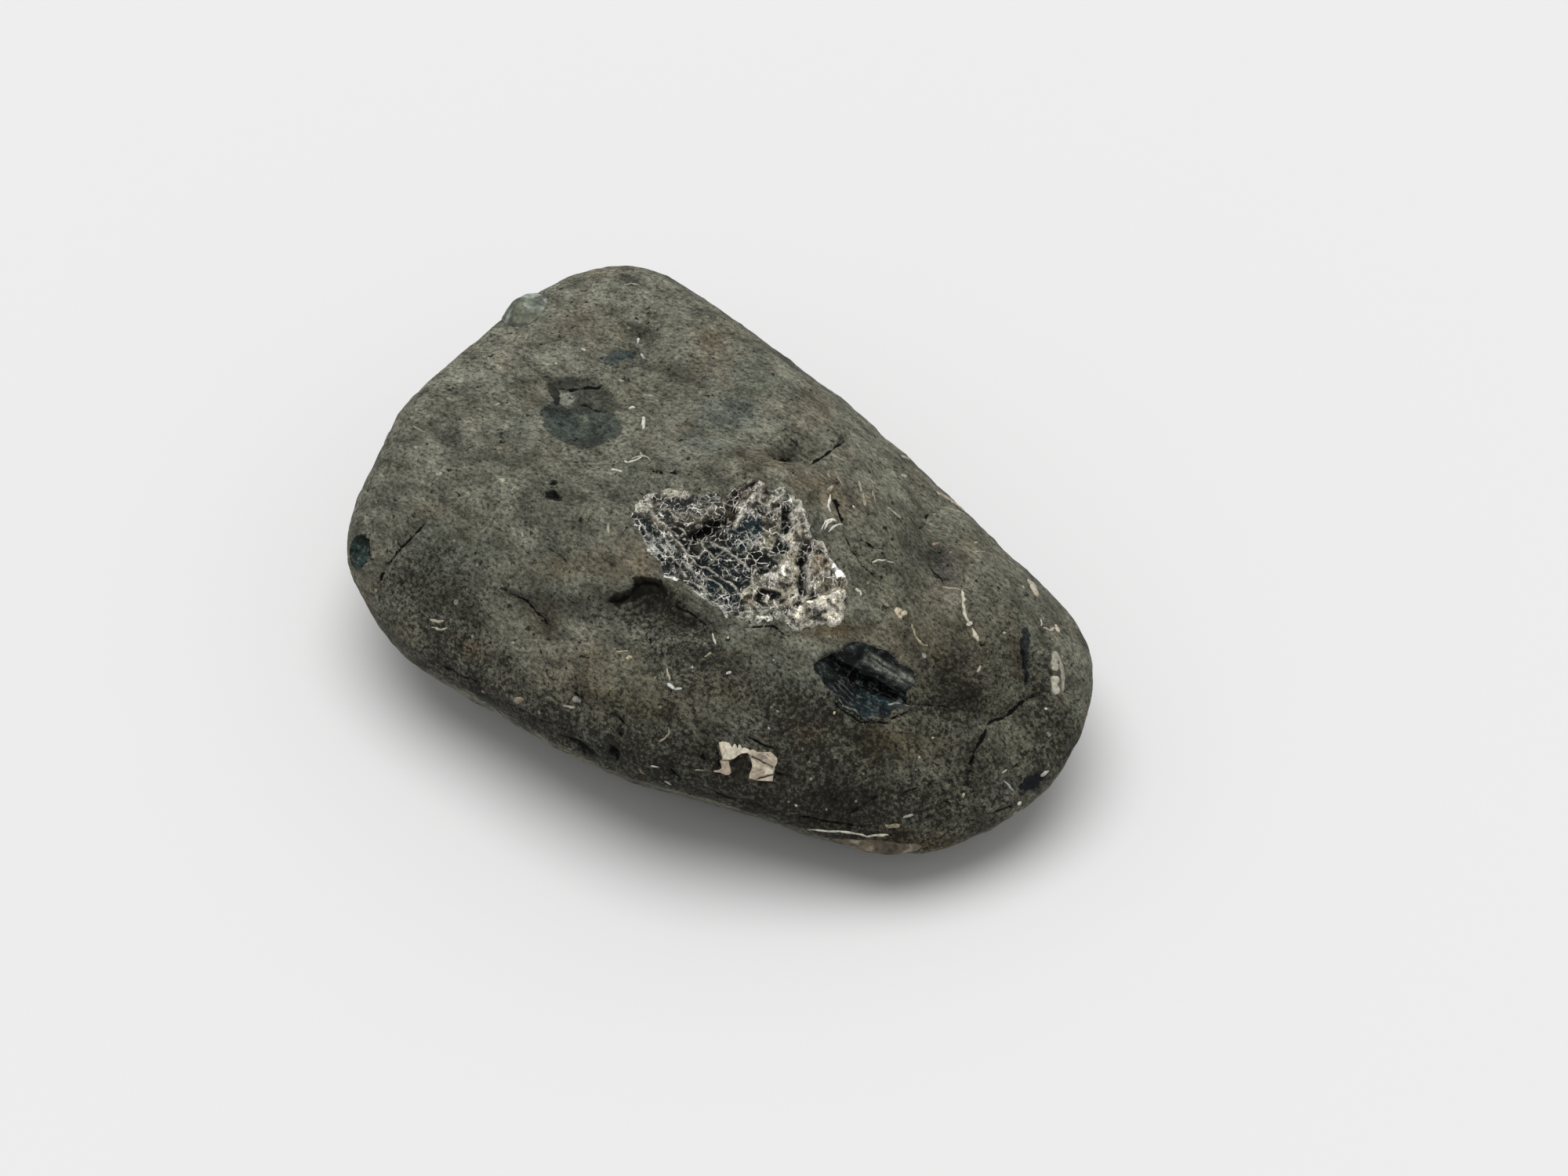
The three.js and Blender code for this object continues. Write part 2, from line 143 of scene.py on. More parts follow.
def worn_radius(toward):
    """The flats' shares, each to the 18th power, are added; their sum to the minus 18th part."""
    share, power = flat_shares(toward)
    return np.sum(power * share ** 2, -1) ** (-1 / 18)


def worn_normal(toward):
    """Each flat's facing, weighted by its share to the 17th power over its distance."""
    share, power = flat_shares(toward)
    return unit((power * share / FLAT_DISTANCE) @ FLAT_FACING)


def skin_radius(toward):
    """The worn radius plus every swell, a bell curve round its centre, plus the ledge's soft step."""
    radius = worn_radius(toward)
    worn = toward * radius[..., None]
    for azimuth, elevation, rise, across, along, turned in STONE_SWELLS:
        out = direction(azimuth, elevation)
        normal = worn_normal(out)
        level = unit(np.cross((0, 0, 1), normal))
        turned = np.radians(turned)
        way = level * np.cos(turned) + np.cross(normal, level) * np.sin(turned)
        offset = worn - out * worn_radius(out)
        lengthwise = offset @ way
        rest = np.sum(offset ** 2, -1) - lengthwise ** 2
        radius = radius + rise * np.exp(-(lengthwise / along) ** 2 - rest / across ** 2)
    start, end = (direction(*STONE_LEDGE[key]) for key in ("start", "end"))
    start, end = start * worn_radius(start), end * worn_radius(end)
    middle = (start + end) / 2
    offset = worn - middle
    side = unit(np.cross(end - start, middle))
    fade = np.exp(-np.sum(offset ** 2, -1) / STONE_LEDGE["reach"] ** 2)
    return radius + STONE_LEDGE["step"] * np.tanh(offset @ side / STONE_LEDGE["sharp"]) * fade


def depth_inside(points):
    """How far points lie under the skin, measured towards the heart."""
    offset = points - HEART
    reach = np.linalg.norm(offset, axis=-1)
    return skin_radius(offset / reach[:, None]) - reach


def skin_meeting(start, way, outer, inner):
    """Where rays enter the skin, found by halving between a distance outside and one inside."""
    for _ in range(HALVINGS):
        middle = (inner + outer) / 2
        inside = depth_inside(start + way * middle[:, None]) > 0
        inner = np.where(inside, middle, inner)
        outer = np.where(inside, outer, middle)
    return start + way * inner[:, None]


def on_skin(places):
    """Where the lines of sight through places in the picture meet the skin: a coarse march finds the
    deepest point of each line, and the entry lies before it."""
    offset = (np.asarray(places, float) - PICTURE_MIDDLE) / FOCAL
    sight = unit(AHEAD + offset[:, :1] * RIGHT - offset[:, 1:] * UPWARD)
    nearest = sight @ (HEART - EYE)
    tried = [nearest + step for step in np.linspace(-SEARCH_REACH, SEARCH_REACH, SEARCH_STEPS)]
    deepest = np.argmax([depth_inside(EYE + sight * far[:, None]) for far in tried], 0)
    inner = np.choose(deepest, tried)
    return skin_meeting(EYE, sight, inner - WELL_OUTSIDE, inner)


def smooth(low, high, value):
    """0 below low, 1 above high, and 3t^2 - 2t^3 between them."""
    t = np.clip((value - low) / (high - low), 0, 1)
    return t * t * (3 - 2 * t)


def noise(points, cell, seed):
    """Smooth noise from -1 to 1: a random number at each corner of cubes of the cell's size in mm,
    blended inside each cube with 3t^2 - 2t^3."""
    chance = np.random.default_rng(seed)
    order = chance.permutation(256)
    value = chance.uniform(-1, 1, 256)
    place = points / cell
    corner = np.floor(place).astype(int)
    t = place - corner
    t = t * t * (3 - 2 * t)
    total = 0
    for step in np.ndindex(2, 2, 2):
        x, y, z = np.moveaxis((corner + step) % 256, -1, 0)
        number = value[order[(order[(order[x] + y) % 256] + z) % 256]]
        total = total + number * np.prod(np.where(step, t, 1 - t), -1)
    return total


def line_measure(places, line):
    """Signed distance to a broken line, positive below a line that runs to the right, and the share
    of the line's length at the nearest point."""
    line = np.asarray(line, float)
    lengths = np.linalg.norm(np.diff(line, axis=0), axis=1)
    before = np.concatenate([[0], np.cumsum(lengths)])
    nearest = np.full(len(places), np.inf)
    side = np.ones(len(places))
    share = np.zeros(len(places))
    for start, end, length, passed in zip(line[:-1], line[1:], lengths, before):
        way = (end - start) / length
        offset = places - start
        along = np.clip(offset @ way, 0, length)
        rest = offset - along[:, None] * way
        distance = np.linalg.norm(rest, axis=1)
        closer = distance < nearest
        nearest = np.where(closer, distance, nearest)
        side = np.where(closer, np.sign(way[0] * offset[:, 1] - way[1] * offset[:, 0]), side)
        share = np.where(closer, (passed + along) / before[-1], share)
    return nearest * np.where(side == 0, 1, side), share


def inside_measure(places, outline):
    """Signed distance to a closed outline, positive inside. A place is inside when a level line from
    it crosses the outline an odd number of times."""
    outline = np.asarray(outline, float)
    following = np.roll(outline, -1, axis=0)
    distance = np.abs(line_measure(places, np.vstack([outline, outline[:1]]))[0])
    odd = np.zeros(len(places), bool)
    for (x0, y0), (x1, y1) in zip(outline, following):
        if y0 == y1:
            continue
        spans = (y0 > places[:, 1]) != (y1 > places[:, 1])
        crossing = x0 + (places[:, 1] - y0) * (x1 - x0) / (y1 - y0)
        odd ^= spans & (places[:, 0] < crossing)
    return np.where(odd, distance, -distance)


# The shells' outlines in the picture. The stone is dished under each of them.
VALVE_OUTLINE = [
    (800, 657), (811, 647), (814, 640), (821, 631), (835, 627), (847, 624), (868, 624), (880, 629),
    (888, 633), (898, 630), (905, 629), (911, 624), (923, 622), (931, 623), (943, 619), (952, 614),
    (964, 611), (970, 616), (976, 619), (983, 622), (988, 623), (996, 621), (1003, 622), (1009, 628),
    (1013, 636), (1021, 639), (1026, 648), (1030, 657), (1029, 664), (1034, 674), (1035, 684), (1045, 690),
    (1050, 696), (1056, 708), (1060, 716), (1068, 724), (1078, 730), (1079, 737), (1084, 747), (1079, 751),
    (1081, 758), (1079, 763), (1081, 767), (1077, 770), (1079, 775), (1076, 781), (1076, 790), (1070, 797),
    (1064, 801), (1053, 797), (1041, 798), (1030, 801), (1022, 804), (1016, 807), (1010, 801), (1003, 795),
    (998, 786), (990, 793), (984, 792), (972, 793), (963, 794), (954, 796), (946, 791), (939, 788),
    (932, 785), (928, 787), (923, 784), (917, 777), (911, 774), (903, 768), (890, 757), (882, 750),
    (874, 745), (867, 741), (862, 742), (852, 739), (844, 737), (845, 731), (843, 726), (837, 715),
    (830, 709), (824, 704), (824, 698), (817, 690), (815, 684), (812, 677), (807, 671), (805, 664),
]
FOLDED_OUTLINE = [
    (1034, 848), (1040, 844), (1048, 835), (1057, 830), (1070, 828), (1075, 822), (1084, 817), (1092, 815),
    (1106, 818), (1122, 824), (1133, 827), (1143, 835), (1148, 843), (1157, 849), (1163, 853), (1168, 859),
    (1167, 870), (1163, 878), (1157, 883), (1164, 893), (1168, 900), (1157, 905), (1149, 906), (1141, 908),
    (1138, 912), (1138, 917), (1131, 919), (1124, 917), (1116, 915), (1109, 918), (1105, 919), (1099, 915),
    (1091, 908), (1083, 905), (1076, 902), (1072, 897), (1068, 891), (1064, 884), (1057, 880), (1050, 873),
    (1043, 862), (1037, 855),
]
CREAM_STATIONS = [
    # pairs across the plate, from its left foot over the arch to its right foot: inner, outer
    ((911, 984.5), (909.6, 983.3)), ((917.9, 985.4), (917.2, 982.0)), ((925, 988.6), (920.4, 979.6)),
    ((930, 988.2), (919.8, 974.3)), ((932, 985.4), (918.4, 971)), ((931.4, 980), (921.6, 967.6)),
    ((929.5, 974), (921, 965)), ((929.5, 970), (918.5, 956.7)), ((933, 968.8), (916.9, 947.1)),
    ((935.7, 968), (921, 945.8)), ((937.5, 966.6), (925.5, 946.2)), ((939, 965.4), (930, 947.8)),
    ((940.2, 964.4), (932.5, 951.6)), ((941.2, 963.6), (933.8, 953.6)), ((942.2, 963), (936.4, 948.7)),
    ((943, 962.4), (938.3, 949.7)), ((944, 961.8), (939.2, 954.5)), ((944.8, 961.4), (940.8, 954.4)),
    ((945.6, 961.2), (941.8, 949.7)), ((946.6, 961), (944, 950.3)), ((948, 960.8), (945.8, 954.6)),
    ((949.6, 960.7), (949.3, 953.6)), ((951.4, 960.6), (952.7, 954.9)), ((952.6, 960.6), (956.1, 956.8)),
    ((953.6, 961.1), (961.2, 955.8)), ((955, 963.2), (964.4, 958.8)), ((956.1, 965.6), (972.1, 959.5)),
    ((957.4, 969), (982.3, 959)), ((958.7, 972.6), (987, 963)), ((959.3, 976), (991.2, 967)),
    ((959.2, 979), (991.4, 972.6)), ((958, 982.4), (988.6, 978)), ((956.4, 986), (988, 983.5)),
    ((955.7, 990), (987.2, 988)), ((955.5, 993.8), (985.8, 992)), ((956.5, 995.2), (985.5, 996.6)),
]

# What water, frost and old breaks left on the stone, as the picture shows it.
STONE_HOLLOWS = [
    # depth (lumps are negative), x, y, half length and half width in pixels, turn of the length
    (0.5, 830, 776, 40, 20, 12), (0.4, 880, 804, 30, 12, 30), (0.7, 690, 790, 26, 12, 62),
    (0.5, 645, 764, 26, 9, 14), (0.6, 1000, 582, 26, 10, 8), (-0.5, 985, 606, 40, 11, 4),
    (0.7, 1172, 700, 30, 44, -10), (-0.5, 1142, 650, 24, 36, -30), (0.6, 1262, 900, 20, 14, -30),
    (0.4, 703, 628, 11, 5, 10), (0.5, 700, 500, 30, 9, -8), (0.35, 850, 470, 40, 12, 30),
    (0.3, 812, 428, 26, 8, 10), (-0.4, 655, 445, 40, 14, -25), (0.4, 575, 560, 34, 18, 40),
    (-0.5, 540, 520, 46, 22, -45), (-0.6, 600, 690, 60, 40, -20), (-0.5, 740, 860, 60, 34, 16),
    (0.5, 640, 850, 50, 13, 28), (0.5, 735, 955, 26, 9, 22), (0.4, 782, 962, 16, 8, 20),
    (-0.4, 1000, 860, 60, 30, 20), (0.5, 1060, 1010, 60, 12, 10), (-0.4, 1120, 960, 60, 22, 10),
    (-0.5, 1190, 870, 24, 40, -20), (0.4, 1230, 850, 12, 50, -20), (0.4, 1310, 850, 7, 38, -12),
    (-0.3, 1330, 940, 30, 40, 20), (0.35, 500, 640, 9, 60, 8), (0.3, 620, 620, 30, 16, 30),
    (0.25, 1128, 604, 18, 14, 10), (-0.3, 560, 745, 30, 22, 30), (0.4, 600, 800, 34, 9, 30),
    (-0.3, 880, 690, 90, 60, 20), (0.4, 1020, 812, 40, 7, 6), (0.3, 890, 930, 40, 14, 12),
]
STONE_STEPS = [
    # drop below the line, reach of the drop in pixels, and the line
    (0.8, 28, [(770, 767), (779, 765), (790, 763), (800, 757), (807, 744), (818, 739), (832, 739),
     (843, 745), (852, 757), (864, 766)]),
    (0.4, 22, [(856, 780), (870, 784), (886, 792), (903, 797)]),
    (-0.75, 40, [(1036, 664), (1031, 650), (1022, 634), (1008, 618), (986, 617), (964, 606), (943, 613),
     (912, 619), (886, 627), (868, 619), (846, 619), (826, 624), (812, 638), (798, 652)]),
    (0.5, 30, [(1082, 555), (1066, 566), (1050, 577), (1028, 590), (1000, 592), (980, 588)]),
    (0.45, 26, [(686, 492), (704, 486), (730, 484), (760, 486), (790, 500), (799, 520)]),
    (0.35, 20, [(773, 452), (784, 446), (800, 445), (815, 450)]),
    (0.8, 16, [(1329, 884), (1310, 891), (1284, 914), (1267, 918), (1258, 925), (1252, 943), (1243, 962),
     (1238, 982), (1230, 1002)]),
    (0.5, 22, [(1122, 742), (1100, 720), (1090, 704), (1079, 680), (1077, 664), (1066, 634)]),
    (0.45, 24, [(560, 868), (600, 884), (650, 905), (700, 925), (760, 940)]),
    (0.4, 26, [(960, 1030), (1000, 1036), (1060, 1046), (1110, 1052), (1160, 1050)]),
    (0.35, 20, [(645, 752), (670, 764), (682, 782), (692, 800), (700, 816)]),
    (0.3, 18, [(1172, 648), (1188, 652), (1200, 668), (1206, 690)]),
]
STONE_CRACKS = [
    # depth, half width in pixels, and the line; the gaps under the valves' lower rims are among them. The
    # stone's material paints them all near black, as painted shade.
    (0.6, 2.4, [(541, 664), (535, 672), (524, 684), (512, 697), (500, 710), (491, 722)]),
    (0.5, 1.8, [(486, 729), (481, 741)]),
    (0.8, 2.4, [(1332, 884), (1310, 891), (1284, 914), (1267, 918), (1261, 923), (1255, 941), (1243, 960),
     (1239, 980), (1231, 1001)]),
    (0.8, 3.0, [(1083, 555), (1070, 563), (1057, 573), (1044, 582), (1030, 590)]),
    (0.9, 4.0, [(1006, 581), (994, 582), (984, 579)]), (0.7, 2.4, [(831, 600), (839, 604), (850, 608)]),
    (0.6, 3.0, [(855, 604), (864, 607)]),
    (0.6, 1.6, [(1079, 676), (1081, 683), (1085, 692), (1089, 702), (1093, 705), (1101, 718), (1112, 729),
     (1122, 738)]),
    (0.5, 1.3, [(1093, 690), (1101, 685), (1115, 697), (1132, 698)]),
    (0.7, 3.4, [(1064, 631), (1070, 642), (1075, 654), (1077, 664)]),
    (0.5, 1.8, [(645, 755), (658, 759), (670, 765), (680, 780), (690, 785), (697, 805)]),
    (0.5, 2.4, [(828, 810), (829, 822)]), (0.8, 4.2, [(697, 627), (712, 630)]),
    (0.5, 2.6, [(702, 614), (708, 614)]), (0.6, 2.4, [(731, 882), (735, 884), (743, 891)]),
    (0.5, 1.1, [(1180, 655), (1190, 650)]), (0.5, 1.0, [(1188, 720), (1196, 731), (1206, 745)]),
    (0.6, 2.6, [(1198, 701), (1203, 704)]), (0.4, 1.6, [(856, 770), (880, 781), (905, 800)]),
    (0.6, 2.2, [(772, 767), (790, 763), (800, 756), (807, 745), (818, 740), (832, 741), (843, 747)]),
    (0.5, 2.0, [(688, 828), (692, 842)]), (0.5, 2.0, [(1303, 820), (1308, 846), (1312, 875)]),
    (0.5, 1.6, [(952, 938), (964, 944), (973, 950), (986, 953), (994, 960)]),
    (0.5, 2.4, [(914, 952), (916, 966), (918, 976), (912, 982)]),
    (0.4, 1.4, [(905, 1010), (924, 1018), (950, 1026), (976, 1032)]),
    (0.4, 1.4, [(1010, 1046), (1040, 1050), (1076, 1056), (1110, 1058)]),
    (0.4, 1.3, [(1215, 900), (1236, 890), (1250, 886)]), (0.4, 1.2, [(560, 850), (584, 862), (610, 872)]),
    (0.4, 1.4, [(778, 955), (784, 966)]), (0.4, 1.3, [(1150, 1012), (1172, 1004), (1190, 1000)]),
    (0.4, 1.4, [(660, 905), (690, 922), (716, 932)]), (0.35, 1.1, [(700, 700), (716, 708), (724, 720)]),
    (0.4, 1.8, [(710, 489), (728, 492), (742, 489), (760, 490), (777, 486)]),
    (0.4, 1.4, [(736, 510), (750, 515), (760, 521), (775, 522)]),
    (0.6, 1.8, [(1058, 887), (1072, 903), (1084, 911), (1099, 921), (1116, 919), (1131, 922), (1142, 914),
     (1152, 910), (1168, 903)]),
    (0.4, 1.1, [(1168, 897), (1184, 900), (1200, 900), (1215, 904)]),
    (0.5, 1.3, [(945, 800), (966, 799), (988, 798), (1002, 809), (1010, 811)]),
    (0.5, 1.1, [(1188, 653), (1183, 664), (1173, 671)]), (0.5, 1.8, [(1249, 822), (1257, 822)]),
    (0.5, 2.2, [(783, 910), (790, 917), (797, 926)]), (0.5, 2.0, [(786, 934), (793, 937)]),
    (0.6, 4.2, [(714, 946), (733, 954), (756, 969)]), (0.6, 4.5, [(777, 954), (782, 964), (785, 975)]),
    (0.6, 4.0, [(894, 963), (903, 976)]), (0.5, 3.0, [(990, 986), (1010, 989)]),
    (0.5, 2.4, [(853, 983), (860, 991), (868, 997)]), (0.5, 1.8, [(1290, 981), (1298, 976)]),
    (0.4, 1.3, [(1268, 1041), (1280, 1034), (1295, 1029)]), (0.5, 2.0, [(1206, 1018), (1209, 1024)]),
    (0.4, 1.8, [(1075, 1043), (1090, 1035), (1100, 1028), (1125, 1013)]),
    (0.5, 2.4, [(1065, 1010), (1060, 1018), (1070, 1022)]),
    (0.4, 1.2, [(1241, 975), (1237, 989), (1232, 1002)]),
]


def bell(places, x, y, half_length, half_width, turned):
    """exp(-(a/l)^2 - (b/w)^2), with a and b the distances along and across a turned length."""
    offset = places - (x, y)
    turned = np.radians(turned)
    along = offset @ (np.cos(turned), np.sin(turned))
    across = offset @ (-np.sin(turned), np.cos(turned))
    return np.exp(-(along / half_length) ** 2 - (across / half_width) ** 2)


def picture_relief(places, facing):
    """Heights along the normal: bell-shaped hollows, one-sided steps that fade with distance, and
    grooves, all weighted by how squarely the skin faces the camera."""
    height = np.zeros(len(places))
    for depth, *where in STONE_HOLLOWS:
        height -= depth * bell(places, *where)
    for drop, reach, line in STONE_STEPS:
        distance, share = line_measure(places, line)
        ends = smooth(0, 0.2, share) * smooth(1, 0.8, share)
        height -= drop * smooth(-2, 3, distance) * np.exp(-(distance / reach) ** 2) * ends
    for depth, half_width, line in STONE_CRACKS:
        distance, _ = line_measure(places, line)
        height -= depth * np.exp(-(distance / (half_width + 1)) ** 2)
    return height * smooth(0.02, 0.25, facing)


# Where the shells at the stone's edge lie: azimuth and elevation from the heart, and half widths.
EDGE_SHELLS = {
    "rim_shell": {"place": (166, 19), "half": (3.4, 4.2), "rise": 1.5, "depth": 1.6},
    "edge_valve": {"place": (227, 11), "half": (2.0, 2.2), "rise": -1.6, "depth": 3.0},
    "base_shell": {"place": (334, -3), "half": (5.6, 1.7), "rise": 0.7, "depth": 1.6},
}


def seat_frame(place):
    """A shell's frame on the skin: its origin, u level to the right of the viewing side, v and w out."""
    toward = direction(*place)
    outward = worn_normal(toward)
    level = direction(np.degrees(VIEW_AZIMUTH), 0)
    across = unit(level - outward * (level @ outward))
    return HEART + toward * skin_radius(toward), across, np.cross(outward, across), outward


WORN_WAVES = [
    # height of the waves, their size, and the seed of their chance
    (0.26, 9.0, 1), (0.17, 4.0, 2), (0.13, 1.9, 3), (0.08, 0.9, 4),
]
SHELL_DISHES = [
    # outline of a shell that the stone is dished under, depth of the dish, and reach of its wall
    (VALVE_OUTLINE, 2.8, 1.3), (FOLDED_OUTLINE, 3.9, 1.2),
]


def waves(points, sizes):
    """Noise of several sizes, each times its own height, added up."""
    return sum(height * noise(points, size, seed) for height, size, seed in sizes)


def worn_relief(points, places, facing):
    """Height of stone and shells alike over the bare skin: the worn waves, and the features that the
    picture shows."""
    return waves(points, WORN_WAVES) + picture_relief(places, facing)


def stone_relief(points, places, facing):
    """Height of the finished stone over its bare skin: the worn relief, less dishes under the shells."""
    height = worn_relief(points, places, facing)
    seen = smooth(0.02, 0.2, facing)
    for outline, depth, reach in SHELL_DISHES:
        height -= depth * smooth(0.1, reach, inside_measure(places, outline) * PIXEL_MM) * seen
    for values in EDGE_SHELLS.values():
        origin, across, along, outward = seat_frame(values["place"])
        offset = points - origin
        wide = np.hypot(offset @ across / values["half"][0], offset @ along / values["half"][1])
        near = smooth(9, 6, np.linalg.norm(offset, axis=-1))
        dish = 0.8 + max(0, -values["rise"])
        height -= dish * smooth(1.02, 0.75, wide) * near
    return height


def stone_surface(toward):
    """The finished stone along directions from the heart: the skin moved along the worn normal, and
    never below the floor. Returns points, normals, places in the picture and how they face it."""
    points = HEART + toward * skin_radius(toward)[:, None]
    normals = worn_normal(toward)
    places = picture_place(points)
    facing = -np.sum(normals * unit(points - EYE), -1)
    points = points + normals * stone_relief(points, places, facing)[:, None]
    points[:, 2] = np.maximum(points[:, 2], 0)
    return points, normals, places, facing


def square_on_disc(count):
    """A square grid bent into a disc: squares round the middle become circles. Gives x and y."""
    steps = np.linspace(-1, 1, count + 1)
    first, second = np.meshgrid(steps, steps, indexing="ij")
    wide = np.abs(first) >= np.abs(second)
    reach = np.where(wide, first, second)
    other = np.where(wide, second, first)
    angle = np.pi / 4 * other / np.where(reach == 0, 1, reach)
    angle = np.where(wide, angle, np.pi / 2 - angle)
    return reach * np.cos(angle), reach * np.sin(angle)


def grid_faces(rows, columns):
    """Two triangles for each cell of a grid that is numbered row by row."""
    row, column = np.meshgrid(np.arange(rows - 1), np.arange(columns - 1), indexing="ij")
    corner = (row * columns + column).ravel()
    return np.concatenate([
        np.stack([corner, corner + columns, corner + columns + 1], -1),
        np.stack([corner, corner + columns + 1, corner + 1], -1),
    ])


def make_piece(name, points, faces, material, **values):
    """A smooth mesh of triangles from points in mm, turned so that it holds a positive volume, with
    a number or a colour at each point for every named value."""
    corners = points[faces]
    volume = np.sum(corners[:, 0] * np.cross(corners[:, 1], corners[:, 2]))
    if volume < 0:
        faces = faces[:, ::-1]
    mesh = bpy.data.meshes.new(name)
    mesh.vertices.add(len(points))
    mesh.vertices.foreach_set("co", (points / 1000).ravel())
    mesh.loops.add(faces.size)
    mesh.loops.foreach_set("vertex_index", faces.ravel())
    mesh.polygons.add(len(faces))
    mesh.polygons.foreach_set("loop_start", 3 * np.arange(len(faces)))
    mesh.polygons.foreach_set("use_smooth", np.ones(len(faces), bool))
    for key, value in values.items():
        if value.ndim == 1:
            mesh.attributes.new(key, "FLOAT", "POINT").data.foreach_set("value", value)
        else:
            colour = np.column_stack([value, np.ones(len(value))])
            mesh.attributes.new(key, "FLOAT_COLOR", "POINT").data.foreach_set("color", colour.ravel())
    mesh.update(calc_edges=True)
    mesh.materials.append(material)
    piece = bpy.data.objects.new(name, mesh)
    bpy.context.scene.collection.objects.link(piece)
    return piece


def linear(code):
    """A colour written as an sRGB hex code, as linear values."""
    shown = np.array([int(code[i:i + 2], 16) for i in (1, 3, 5)]) / 255
    return np.where(shown <= 0.04045, shown / 12.92, ((shown + 0.055) / 1.055) ** 2.4)


def add(tree, kind, inputs, out=0, **settings):
    """Adds a node to a tree, with values or other nodes' outputs at its inputs, and gives an output."""
    made = tree.nodes.new("ShaderNode" + kind)
    for name, value in settings.items():
        setattr(made, name, value)
    for name, value in inputs.items():
        socket = made.inputs[name]
        if isinstance(value, bpy.types.NodeSocket):
            tree.links.new(value, socket)
        elif isinstance(value, str):
            socket.default_value = (*linear(value), 1)
        else:
            socket.default_value = value
    return made.outputs[out]


def start_material(name, roughness, level):
    """A material with its own shader: returns it, its node tree, the shader and Object coordinates."""
    material = bpy.data.materials.new(name)
    material.use_nodes = True
    tree = material.node_tree
    shader = tree.nodes["Principled BSDF"]
    shader.inputs["Roughness"].default_value = roughness
    shader.inputs["Specular IOR Level"].default_value = level
    return material, tree, shader, add(tree, "TexCoord", {}, out="Object")


def finish_material(tree, shader, colour, height, strength, rise):
    """Gives the shader its colour, and a bump of a pattern's height times a rise in mm."""
    bump = add(tree, "Bump", {"Height": height, "Strength": strength, "Distance": rise / 1000})
    tree.links.new(colour, shader.inputs["Base Color"])
    tree.links.new(bump, shader.inputs["Normal"])


# Water-worn siltstone: clay and silt grains too fine to part by eye, so it is dull and rough, in faint
# streaks along the bedding. Ragged blotches of soot, rust, moss and chalk lie over them, with pits, black
# grit where the stone is dirty and, thicker, where its shade is painted, cracks painted near black for the
# shade in them, and pale specks. The grain is drawn coarse enough to show.
PER_MM = 1000
STONE_NOISES = {
    # repeats to the millimetre, detail, roughness, and whether it is drawn out along the bedding
    "ragged": (1.1, 6, 0.75, False), "grain": (2.3, 5, 0.8, True), "cloud": (0.33, 8, 0.7, True),
    "soot": (0.23, 9, 0.78, True), "pit": (0.9, 3, 0.55, False), "grit": (1.7, 5, 0.75, False),
    "speck": (0.26, 2, 0.5, False),
}
STONE_SPREADS = {
    # the noise, the values that it rises between, and what is given below and above them
    "ragged": ("ragged", 0.3, 0.7, -0.3, 0.3), "grain": ("grain", 0.3, 0.7, -0.15, 2.25),
    "cloud": ("cloud", 0.32, 0.68, 0.4, 1.6), "rust": ("Red", 0.52, 0.72, 0, 0.3),
    "moss": ("Green", 0.5, 0.72, 0, 0.3), "chalk": ("Blue", 0.58, 0.74, 0, 0.3),
    "soot": ("soot", 0.53, 0.66, 0, 0.6), "pit": ("pit", 0.66, 0.70, 0, 0.85),
    "speck": ("speck", 0.45, 0.75, 0.02, 0.16), "crack": ("pit", 0.38, 0.62, 0.2, 1.9),
}
siltstone, tree, shader, place = start_material("water_worn_siltstone", 0.85, 0.15)
bedding = add(tree, "Mapping", {"Vector": place, "Scale": (0.65, 1, 1)})
stain = add(tree, "TexNoise", {"Vector": place, "Scale": 0.13 * PER_MM, "Detail": 5, "Roughness": 0.65},
            out="Color")
noises = {part: add(tree, "SeparateColor", {"Color": stain}, out=part) for part in ("Red", "Green", "Blue")}
for name, (per_mm, detail, roughness, bedded) in STONE_NOISES.items():
    noises[name] = add(tree, "TexNoise", {
        "Vector": bedding if bedded else place, "Scale": per_mm * PER_MM, "Detail": detail,
        "Roughness": roughness,
    })
spread = {}
for name, (source, low, high, least, most) in STONE_SPREADS.items():
    spread[name] = add(tree, "MapRange", {
        "Value": noises[source], "From Min": low, "From Max": high, "To Min": least, "To Max": most,
    })
given = {}
for name in ("tint", "inlay_tint", "inlay", "grime", "crack", "crack_half"):
    given[name] = add(tree, "Attribute", {}, out="Color" if "tint" in name else "Fac", attribute_name=name)
inlay = add(tree, "Math", {0: given["inlay"], 1: spread["ragged"]}, operation="ADD")
inlay_share = add(tree, "MapRange", {"Value": inlay, "From Min": -0.05, "From Max": 0.05, "To Max": 0.95})
light = add(tree, "Math", {0: spread["grain"], 1: spread["cloud"]}, operation="MULTIPLY")
# Black grit, thicker where painted shade and dirt lie.
grime = add(tree, "Math", {0: given["grime"], 1: 0.34}, operation="MULTIPLY")
grit = add(tree, "Math", {0: noises["grit"], 1: grime}, operation="ADD")
grit_share = add(tree, "MapRange", {"Value": grit, "From Min": 0.66, "From Max": 0.74, "To Max": 0.85})
speck = add(tree, "TexVoronoi", {"Vector": place, "Scale": 0.42 * PER_MM})
speck = add(tree, "Math", {0: speck, 1: spread["speck"]}, operation="LESS_THAN")
speck_share = add(tree, "Math", {0: speck, 1: 0.7}, operation="MULTIPLY")
